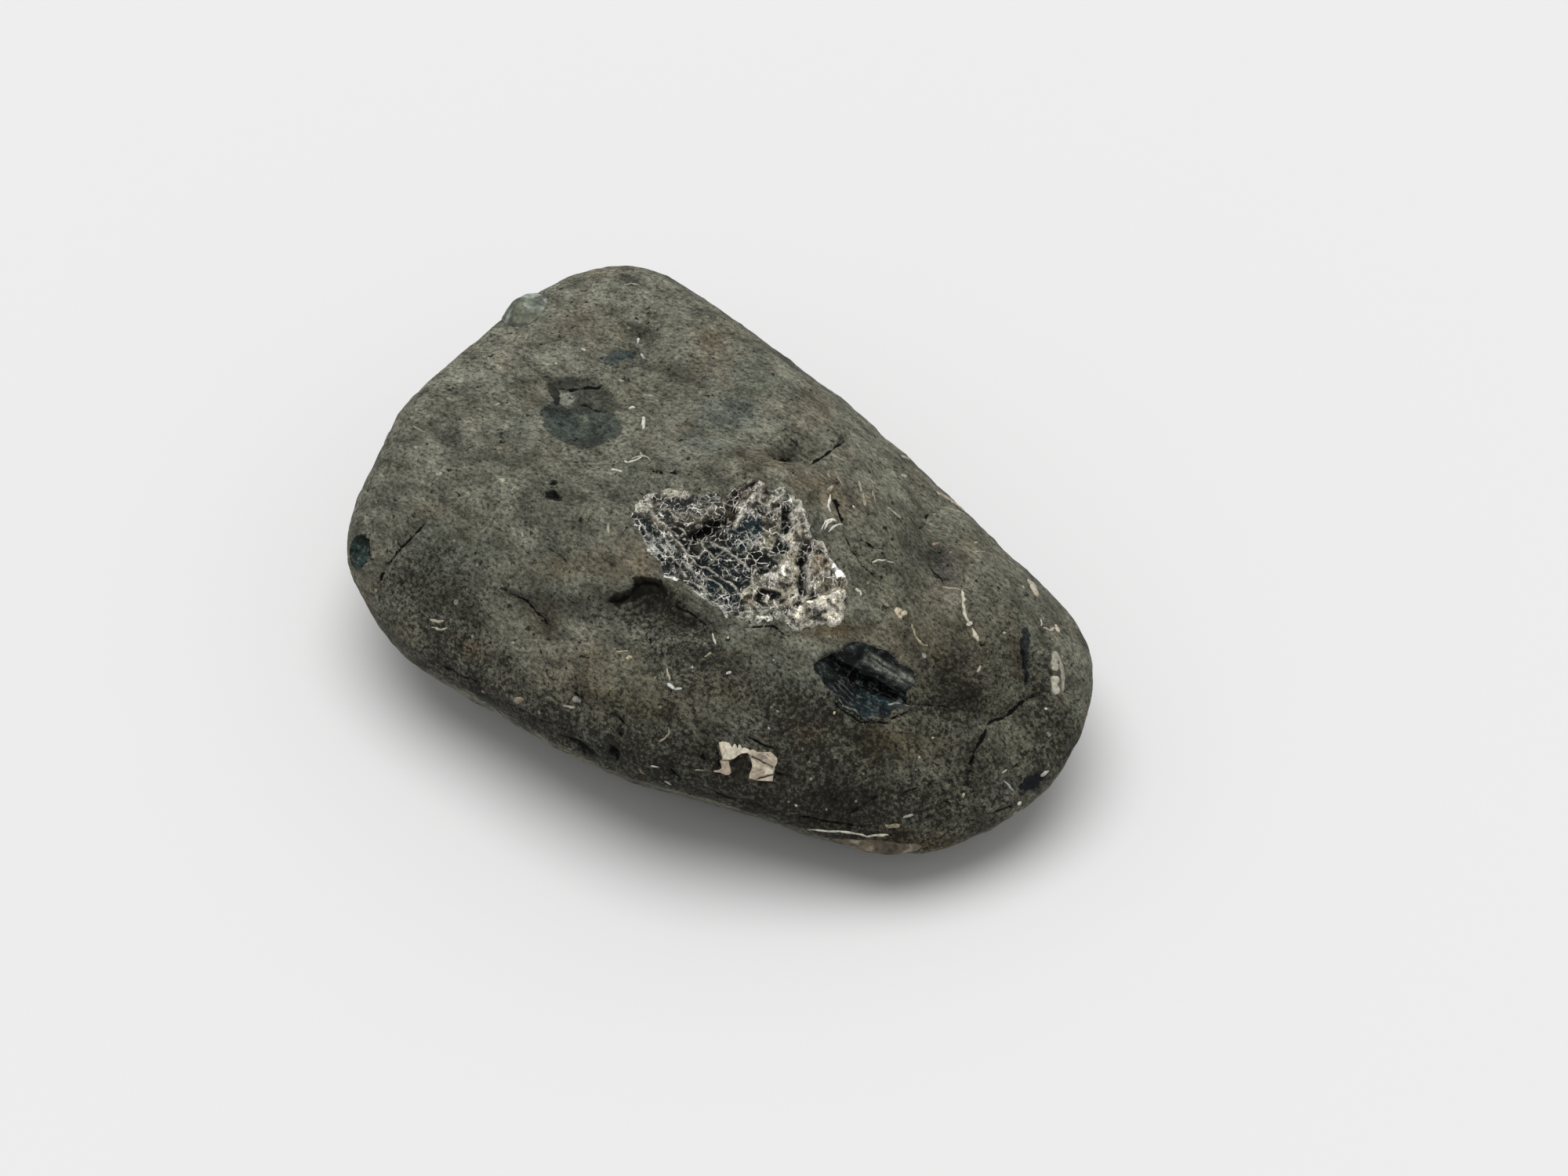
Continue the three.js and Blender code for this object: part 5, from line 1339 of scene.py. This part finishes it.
CREAM_LINES = [
    ("#141210", 0.95, 1.2, -0.3, [(960, 965), (968, 969), (976, 973), (986, 979)]),
    ("#141210", 0.9, 1.0, -0.3, [(956, 995), (964, 995), (970, 992), (977, 991), (988, 988)]),
    ("#1a1714", 0.9, 1.1, -0.3, [(918, 968), (923, 971), (929, 971)]),
    ("#7b6c59", 0.7, 0.8, -0.1, [(952, 961), (960, 967), (966, 972)]),
    ("#7b6c59", 0.6, 0.8, -0.1, [(974, 964), (984, 974)]),
    ("#7b6c59", 0.6, 0.8, -0.1, [(978, 962), (988, 971)]),
    ("#6d5f4e", 0.6, 0.8, -0.1, [(922, 952), (926, 958), (922, 962)]),
    ("#8c7d68", 0.6, 0.8, -0.05, [(960, 986), (972, 982)]),
    ("#8c7d68", 0.6, 0.8, -0.05, [(962, 990), (976, 985)]),
]
CREAM_ACROSS = 28
CREAM_BETWEEN = 8
stations = np.array(CREAM_STATIONS, float)
count = (len(stations) - 1) * CREAM_BETWEEN + 1
steps = np.linspace(0, len(stations) - 1, count)
ends = [[np.interp(steps, np.arange(len(stations)), stations[:, e, k]) for k in (0, 1)] for e in (0, 1)]
inner_rim, outer_rim = (np.stack(end, -1) for end in ends)
share = np.linspace(0, 1, CREAM_ACROSS)[:, None]
places = inner_rim[:, None] + share * (outer_rim - inner_rim)[:, None]
places = places.reshape(-1, 2)
base = on_skin(places)
outward = seat_frame(CREAM_SEAT)[3]
drawn = places + drift(base, 0.6, (41, 42))
broken = 0.5 + 0.5 * noise(base, 0.6, 43)
colour = np.tile(paint("#c4b8a2"), (len(base), 1))
height = flush(base) + CREAM_PROUD
lay_patches(colour, height, drawn, CREAM_PATCHES)
colour *= (1 + 0.16 * noise(base, 0.8, 44) + 0.18 * noise(base, 0.35, 45))[:, None]
lay_lines(colour, height, drawn, CREAM_LINES, np.maximum(broken, 0.4))
height += waves(base, [(0.07, 0.8, 46), (0.04, 0.35, 47)])
shape = (count, CREAM_ACROSS)
base, height = base.reshape(*shape, 3), height.reshape(shape)
colour = np.clip(colour, 0.002, 0.9).reshape(*shape, 3)
LIP = -0.15
FOOT = CREAM_PROUD - CREAM_THICK
sides = [(0, LIP), (0, FOOT), (-1, FOOT), (-1, LIP)]
under = [base[:, k] + outward * (height[:, k, None] * (low > -1) + low) for k, low in sides]
loops = np.concatenate([base + outward * height[..., None], np.stack(under[::-1], 1)], 1)
loop_colour = np.concatenate([colour] + [colour[:, k, None] for k, _ in sides[::-1]], 1)
around = loops.shape[1]
ends = loops[[0, -1]].mean(1)
points = np.concatenate([ends[:1], loops.reshape(-1, 3), ends[1:]])
cream_colour = np.concatenate([loop_colour[0, :1], loop_colour.reshape(-1, 3), loop_colour[-1, :1]])


def grained_shell(name, roughness, level, per_mm, detail, grain_roughness, least, most, strength, rise):
    """A shell's material: its tint times the light and dark of a grain, and a bump of the same."""
    material, tree, shader, place = start_material(name, roughness, level)
    tint = add(tree, "Attribute", {}, out="Color", attribute_name="tint")
    grain = add(tree, "TexNoise", {
        "Vector": place, "Scale": per_mm * PER_MM, "Detail": detail, "Roughness": grain_roughness,
    })
    light = add(tree, "MapRange", {
        "Value": grain, "From Min": 0.3, "From Max": 0.7, "To Min": least, "To Max": most,
    })
    shown = add(tree, "VectorMath", {0: tint, "Scale": light}, operation="SCALE")
    finish_material(tree, shader, shown, grain, strength, rise)
    return material


# Chalky shell: calcite that has lost its gloss, dull and soft-looking, with a faint grain of 0.5 mm.
cream_shell = grained_shell("chalky_cream_shell", 0.7, 0.3, 2.2, 4, 0.6, 0.7, 1.15, 0.4, 0.08)
cream = make_piece("cream_plate", points, ring_faces(around, count), cream_shell, tint=cream_colour)
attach(cream, "root")
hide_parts("cream_fragment")


# The shells at the stone's edge: a worn nub of grey-green shell on the upper left rim, a small dark
# cup sunk in the left end, and the edge of a pale shell along the foot of the front flank.
EDGE_PAINT = {
    "rim_shell": ("rim_nub", "#727565", [("#aab4a8", 61, 1.3), ("#66705f", 62, 1.6), ("#4b4e47", 63, 1.2)]),
    "edge_valve": ("edge_cup", "#22332f", [("#3b4d47", 64, 1.4), ("#0d1211", 65, 1.6)]),
    "base_shell": ("base_shell_edge", "#6f6452", [("#94897a", 66, 1.4), ("#4b4438", 67, 1.3)]),
}
EDGE_AROUND = 160
EDGE_RINGS = 30


def edge_shell(node, place, half, rise, depth):
    """A plate over an oval: height is the rise times 1 - (u/a)^2 - (v/b)^2, and its colours are mixed by
    noise. The cup's upper part is painted darkest, as the shade that its rim casts in it."""
    name, code, mixed = EDGE_PAINT[node]
    origin, across, along, outward = seat_frame(place)
    turned = 2 * np.pi * np.arange(EDGE_AROUND) / EDGE_AROUND
    share = (np.arange(EDGE_RINGS)[:, None] + 1) / EDGE_RINGS
    u = np.concatenate([[0], (share * half[0] * np.cos(turned)).ravel()])
    v = np.concatenate([[0], (share * half[1] * np.sin(turned)).ravel()])
    start = origin + u[:, None] * across + v[:, None] * along + 8 * outward
    base = skin_meeting(start, -outward, np.zeros(len(u)), np.full(len(u), 22.0))
    wide = np.clip(1 - (u / half[0]) ** 2 - (v / half[1]) ** 2, 0, 1)
    height = rise * wide + flush(base) + waves(base, [(0.12, 1.6, 68), (0.06, 0.6, 69)])
    colour = np.tile(paint(code), (len(base), 1))
    for mixed_code, seed, cell in mixed:
        mix_in(colour, mixed_code, 0.8 * smooth(0.05, 0.45, noise(base, cell, seed)))
    # Painted shade: the sunk cup's upper part, under its rim, is mixed towards black.
    if rise < 0:
        mix_in(colour, "#0a0d0d", 0.85 * smooth(-0.2, 0.9, v / half[1] + 0.4 * u / half[0]))
    colour *= (1 + 0.35 * noise(base, 0.5, 70))[:, None]
    material = dark_shell if rise < 0 else pale_shell
    piece = make_plate(name, base, height, outward, depth, EDGE_AROUND, material, tint=colour)
    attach(piece, "root")
    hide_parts(node)


# Worn shell: calcite rubbed by sand and water, dull, with a grain of 0.55 mm.
pale_shell = grained_shell("worn_pale_shell", 0.7, 0.25, 1.8, 5, 0.65, 0.45, 1.5, 0.45, 0.12)
for node, values in EDGE_SHELLS.items():
    edge_shell(node, **values)


# Shell grit: slivers and crumbs of other shells, white to tan, that lie flat in the stone's skin and
# stand about a tenth of a millimetre proud of it. On the sides out of sight they are strewn by chance.
GRIT = [
    # hex colour, half width in pixels, and the line that the sliver follows
    ("#a39f8c", 1.3, [(1057, 601), (1057, 606), (1059, 610)]),
    ("#9a8c78", 1.3, [(1065, 601), (1070, 610), (1075, 619)]),
    ("#b3a792", 3.0, [(1062, 620), (1059, 624), (1056, 626)]),
    ("#e8e4d8", 1.2, [(1059, 630), (1057, 640), (1057, 648), (1059, 653)]),
    ("#e8e4d8", 1.2, [(1048, 676), (1049, 671), (1054, 665), (1061, 662), (1066, 664)]),
    ("#dedace", 1.0, [(1051, 675), (1055, 668), (1061, 664)]),
    ("#e8e4d8", 1.1, [(1056, 679), (1062, 673), (1069, 669), (1076, 668)]),
    ("#b5ae9a", 1.1, [(1096, 613), (1098, 620), (1099, 627)]),
    ("#a89c84", 1.8, [(1101, 629), (1102, 638), (1103, 645)]),
    ("#98917c", 1.1, [(1113, 625), (1115, 634), (1116, 641)]), ("#dedace", 1.4, [(1088, 645), (1090, 648)]),
    ("#b5b2a2", 3.0, [(1150, 606), (1157, 608)]), ("#b1ab98", 1.4, [(1132, 648), (1141, 653), (1149, 661)]),
    ("#a9aa9c", 3.6, [(1150, 582), (1159, 586)]),
    ("#c2b49e", 4.6, [(1196, 629), (1207, 634), (1218, 642), (1229, 651)]),
    ("#b8b09c", 1.0, [(1199, 646), (1213, 650), (1228, 654), (1237, 657)]),
    ("#a5a292", 1.1, [(1240, 704), (1248, 703), (1256, 704)]), ("#a5a292", 1.3, [(1243, 694), (1247, 692)]),
    ("#a09c8c", 1.6, [(1211, 705), (1215, 705)]), ("#9c8878", 2.0, [(1190, 694), (1198, 693)]),
    ("#8f887a", 1.4, [(1183, 676), (1190, 680)]), ("#8f887a", 1.4, [(1200, 679), (1206, 682)]),
    ("#8f887a", 1.2, [(1209, 676), (1213, 680)]), ("#c9c6b6", 1.2, [(1113, 717), (1120, 714), (1130, 715)]),
    ("#c9c6b6", 1.0, [(1131, 716), (1140, 717)]), ("#d6d0bd", 1.6, [(1091, 751), (1097, 754), (1099, 760)]),
    ("#cfc3a8", 3.6, [(1141, 777), (1147, 783), (1157, 781)]), ("#c4b99f", 2.0, [(1146, 786), (1150, 789)]),
    ("#9d9684", 1.8, [(1056, 811), (1061, 814)]),
    ("#a89c84", 1.3, [(1163, 797), (1166, 806), (1169, 815), (1175, 822), (1184, 824)]),
    ("#b5ab96", 1.0, [(1202, 749), (1212, 750), (1221, 751), (1226, 753)]),
    ("#d9d3bd", 2.0, [(1227, 753), (1229, 762), (1229, 772), (1230, 783), (1233, 790), (1237, 796)]),
    ("#e0dac6", 3.2, [(1235, 794), (1238, 798)]), ("#d0c8b2", 1.9, [(1240, 801), (1244, 808), (1248, 818)]),
    ("#c4b99f", 1.4, [(1279, 807), (1283, 807)]), ("#b0a994", 1.5, [(1251, 849), (1250, 853), (1246, 858)]),
    ("#8f9090", 2.0, [(1176, 833), (1181, 839)]), ("#b5ae9c", 1.2, [(1303, 747), (1306, 751)]),
    ("#c9c0ac", 4.4, [(1313, 739), (1318, 748), (1323, 760)]), ("#c4beac", 1.0, [(1328, 789), (1328, 798)]),
    ("#c2b6a3", 1.8, [(1331, 800), (1338, 804), (1345, 801)]),
    ("#d0c4b2", 2.6, [(1346, 797), (1349, 801), (1351, 807)]),
    ("#aeaa99", 4.6, [(1346, 831), (1346, 843), (1345, 856)]),
    ("#b8b3a2", 4.6, [(1346, 862), (1345, 874), (1348, 886)]),
    ("#a09c8c", 2.4, [(1350, 836), (1354, 852), (1356, 868), (1356, 882)]),
    ("#9a968a", 1.4, [(1368, 821), (1370, 825)]), ("#d8dcd8", 1.5, [(814, 431), (813, 438)]),
    ("#c9c2b0", 1.4, [(741, 445), (747, 447)]), ("#e0dccf", 1.4, [(708, 464), (711, 464)]),
    ("#b9b8ad", 1.6, [(818, 451), (822, 458)]), ("#a9a89a", 1.1, [(796, 363), (805, 362), (812, 364)]),
    ("#a9a89a", 1.0, [(820, 373), (826, 375)]), ("#dcd6c6", 1.9, [(803, 522), (807, 520), (811, 520)]),
    ("#dcd8c8", 2.0, [(821, 532), (821, 540), (820, 548)]),
    ("#e2ddcd", 1.4, [(796, 588), (803, 590), (810, 588), (818, 584)]),
    ("#c4c0b0", 1.1, [(806, 586), (815, 582), (824, 582), (829, 588)]),
    ("#c4c0b0", 1.1, [(816, 576), (819, 583)]), ("#e6e0d0", 1.7, [(780, 599), (787, 600), (793, 602)]),
    ("#b5ae9a", 1.2, [(832, 608), (834, 609)]), ("#a9a594", 2.8, [(557, 603), (564, 605)]),
    ("#b5b19c", 3.0, [(637, 611), (643, 614)]), ("#a5a290", 1.4, [(651, 627), (655, 622), (660, 621)]),
    ("#a5a18f", 1.0, [(527, 543), (534, 547), (543, 551)]), ("#a09c8c", 2.0, [(528, 569), (534, 571)]),
    ("#b5b19c", 1.2, [(631, 516), (638, 514)]), ("#b5b19c", 1.0, [(788, 485), (796, 486)]),
    ("#a5a18f", 1.1, [(717, 576), (723, 570)]), ("#b5b19c", 1.1, [(820, 503), (833, 506)]),
    ("#b5ae9a", 1.1, [(776, 667), (776, 680)]), ("#b5ae9a", 1.0, [(666, 678), (667, 685)]),
    ("#b5ae9a", 1.0, [(682, 674), (686, 679)]), ("#a59888", 1.5, [(649, 647), (654, 649)]),
    ("#c9c4b2", 1.1, [(909, 808), (911, 815), (912, 822)]),
    ("#b5ae9a", 1.2, [(548, 790), (558, 793), (566, 792)]),
    ("#b5ae9a", 1.1, [(551, 800), (561, 803), (571, 800)]), ("#9a968a", 1.4, [(652, 819), (656, 821)]),
    ("#c9bd9c", 1.5, [(799, 840), (803, 838), (807, 838)]), ("#a39a80", 1.2, [(785, 832), (800, 830)]),
    ("#c2b8aa", 1.2, [(851, 853), (853, 862), (854, 868)]), ("#d6dbd6", 1.7, [(851, 872), (861, 878)]),
    ("#ccd2cc", 1.3, [(861, 879), (870, 878)]), ("#c4beac", 1.3, [(927, 813), (930, 813)]),
    ("#a89a7c", 1.4, [(899, 838), (907, 833)]), ("#d9d9d2", 1.6, [(926, 859), (932, 857)]),
    ("#c4c2b6", 1.1, [(985, 842), (988, 842)]), ("#c4c2b6", 1.1, [(882, 850), (885, 851)]),
    ("#8f8470", 3.2, [(656, 893), (668, 892)]), ("#8a8a80", 2.8, [(731, 892), (741, 895)]),
    ("#a09a8a", 1.2, [(719, 900), (726, 902), (733, 902)]),
    ("#9c9684", 1.0, [(852, 928), (854, 935), (849, 942), (840, 945)]),
    ("#cfd0cc", 1.2, [(830, 977), (840, 978)]), ("#8c8474", 0.9, [(886, 982), (898, 983)]),
    ("#7d6f5c", 1.0, [(815, 980), (822, 988)]), ("#a8a496", 1.3, [(847, 997), (856, 1000)]),
    ("#b9bab0", 1.2, [(979, 928), (981, 931)]), ("#a89c8c", 1.2, [(990, 906), (994, 908)]),
    ("#d9d6c6", 1.4, [(1030, 1058), (1045, 1059), (1058, 1061), (1072, 1060), (1090, 1063), (1106, 1067)]),
    ("#d0cbb8", 1.3, [(1104, 1067), (1120, 1066), (1134, 1065)]),
    ("#9c9078", 1.4, [(1081, 1073), (1098, 1080)]), ("#9a8f74", 2.4, [(1129, 1053), (1148, 1053)]),
    ("#a5a296", 1.3, [(1152, 1043), (1165, 1039)]), ("#e6dca8", 1.8, [(1063, 909), (1066, 910)]),
    ("#cfd0c4", 1.2, [(1188, 941), (1191, 941)]), ("#b9b4a0", 1.5, [(1172, 965), (1174, 967)]),
    ("#d0d0c6", 1.3, [(1335, 902), (1335, 905)]), ("#8f9188", 2.2, [(1336, 934), (1339, 940)]),
    ("#b9bab0", 1.8, [(1327, 989), (1337, 984)]), ("#dedacc", 2.2, [(1299, 1023), (1302, 1025)]),
    ("#b0a896", 1.2, [(1292, 1040), (1297, 1035)]),
    ("#a8aca4", 1.0, [(1280, 995), (1287, 1003), (1292, 1008)]),
    ("#a8aca4", 1.0, [(1277, 986), (1285, 981)]), ("#a89c84", 1.4, [(1230, 1012), (1228, 1018)]),
    ("#b0ac9c", 1.1, [(1013, 1027), (1017, 1028)]), ("#a9a594", 1.1, [(1034, 992), (1036, 995)]),
]
GRIT_STEPS = 12
GRIT_SIDES = 6
GRIT_HIDDEN = 90
GRIT_SWELL = 1.35
GRIT_RISE = 0.14
GRIT_TRIES = 900


def on_stone(places):
    """Where the lines of sight meet the finished stone: the place aimed at is moved by what the
    finished point missed, three times over. Gives points and normals."""
    aimed = places
    for _ in range(3):
        points, normals, _, _ = stone_surface(unit(on_skin(aimed) - HEART))
        aimed = aimed + places - picture_place(points)
    return points, normals


def grit_points(points, normals, half_width):
    """Flattened tubes along rows of points: a ring is side times width cos plus normal times height
    sin, and the width goes as the square root of sin along the sliver, made ragged by noise."""
    way = unit(np.gradient(points, axis=1))
    side = unit(np.cross(normals, way))
    along = np.linspace(0, 1, points.shape[1] + 2)[1:-1]
    ragged = 1 + 0.6 * noise(points.reshape(-1, 3), 0.5, 82).reshape(points.shape[:2])
    width = GRIT_SWELL * half_width[:, None] * np.sqrt(np.sin(np.pi * along)) * ragged
    height = np.minimum(GRIT_RISE, 0.6 * width)
    turned = 2 * np.pi * np.arange(GRIT_SIDES) / GRIT_SIDES
    rings = (points[:, :, None] + (side[:, :, None] * np.cos(turned)[:, None]) * width[..., None, None]
             + (normals[:, :, None] * np.sin(turned)[:, None]) * height[..., None, None])
    return np.concatenate([points[:, :1], rings.reshape(len(points), -1, 3), points[:, -1:]], 1)


drawn = np.concatenate([even_steps(line, GRIT_STEPS) for _, _, line in GRIT])
drawn = drawn + drift(np.column_stack([drawn, drawn[:, 0] * 0]), 5, (83, 84))
seen_points, seen_normals = on_stone(drawn)
chance = np.random.default_rng(85)
toward = unit(chance.normal(size=(GRIT_TRIES, 3)) * STRETCH)
points, normals, _, facing = stone_surface(toward)
hidden = np.flatnonzero((facing < -0.1) & (points[:, 2] > 1.5))[:GRIT_HIDDEN]
way = unit(np.cross(normals[hidden], chance.normal(size=(len(hidden), 3))))
reach = chance.uniform(0.3, 1.5, len(hidden))[:, None, None]
bend = np.cross(normals[hidden], way)[:, None] * chance.uniform(-0.4, 0.4, len(hidden))[:, None, None]
steps = np.linspace(-1, 1, GRIT_STEPS)[:, None]
points = points[hidden, None] + (way[:, None] * steps + bend * steps ** 2) * reach
hidden_points, hidden_normals, _, _ = stone_surface(unit(points.reshape(-1, 3) - HEART))
points = np.concatenate([seen_points, hidden_points]).reshape(-1, GRIT_STEPS, 3)
normals = np.concatenate([seen_normals, hidden_normals]).reshape(-1, GRIT_STEPS, 3)
half_width = np.concatenate([[half for _, half, _ in GRIT], chance.uniform(0.8, 2.6, len(hidden))])
colour = np.array([paint(code) for code, _, _ in GRIT])
palette = np.array([paint(code) for code in ("#c9c4b2", "#a89c84", "#8f8a7a")])
colour = np.concatenate([colour, palette[chance.integers(0, 3, len(hidden))]])
rows = 2 + GRIT_STEPS * GRIT_SIDES
faces = ring_faces(GRIT_SIDES, GRIT_STEPS) + rows * np.arange(len(points))[:, None, None]
grit = make_piece(
    "shell_grit", grit_points(points, normals, half_width * PIXEL_MM).reshape(-1, 3), faces.reshape(-1, 3),
    pale_shell, tint=np.repeat(colour, rows, axis=0),
)
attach(grit, "root")


# The floor and the light of the photograph: a plain pale sweep, and one large soft light from above
# and behind the stone.
FLOOR_HALF = 4.0
floor_paint = bpy.data.materials.new("pale_sweep")
floor_paint.use_nodes = True
shader = floor_paint.node_tree.nodes["Principled BSDF"]
shader.inputs["Base Color"].default_value = (*linear("#d9d9d9"), 1)
shader.inputs["Roughness"].default_value = 0.9
shader.inputs["Specular IOR Level"].default_value = 0.0
floor_mesh = bpy.data.meshes.new("sweep")
corners = [(FLOOR_HALF * x, FLOOR_HALF * y, 0) for x, y in ((-1, -1), (1, -1), (1, 1), (-1, 1))]
floor_mesh.from_pydata(corners, [], [(0, 1, 2, 3)])
floor_mesh.materials.append(floor_paint)
sweep = bpy.data.objects.new("sweep", floor_mesh)
bpy.context.scene.collection.objects.link(sweep)

SUN_AZIMUTH = 155.0
SUN_ELEVATION = 84.0
SUN_STRENGTH = 2.25
SUN_SPREAD = 50.0
ROOM_LIGHT = 0.52
ROOM_SHOWN = 0.855
sun_data = bpy.data.lights.new("softbox", "SUN")
sun_data.energy = SUN_STRENGTH
sun_data.angle = np.radians(SUN_SPREAD)
sun = bpy.data.objects.new("softbox", sun_data)
beam = -direction(SUN_AZIMUTH, SUN_ELEVATION)
sideways = unit(np.cross((0, 0, 1), -beam))
sun.matrix_world = Matrix([sideways, np.cross(-beam, sideways), -beam]).transposed().to_4x4()
bpy.context.scene.collection.objects.link(sun)

room = bpy.data.worlds.new("room")
room.use_nodes = True
tree = room.node_tree
backdrop = tree.nodes["Background"]
backdrop.inputs["Color"].default_value = (1, 1, 1, 1)
seen_by_camera = add(tree, "LightPath", {}, out="Is Camera Ray")
strength = add(tree, "MapRange", {"Value": seen_by_camera, "To Min": ROOM_LIGHT, "To Max": ROOM_SHOWN})
tree.links.new(strength, backdrop.inputs["Strength"])
bpy.context.scene.world = room
bpy.context.scene.view_settings.view_transform = "Standard"
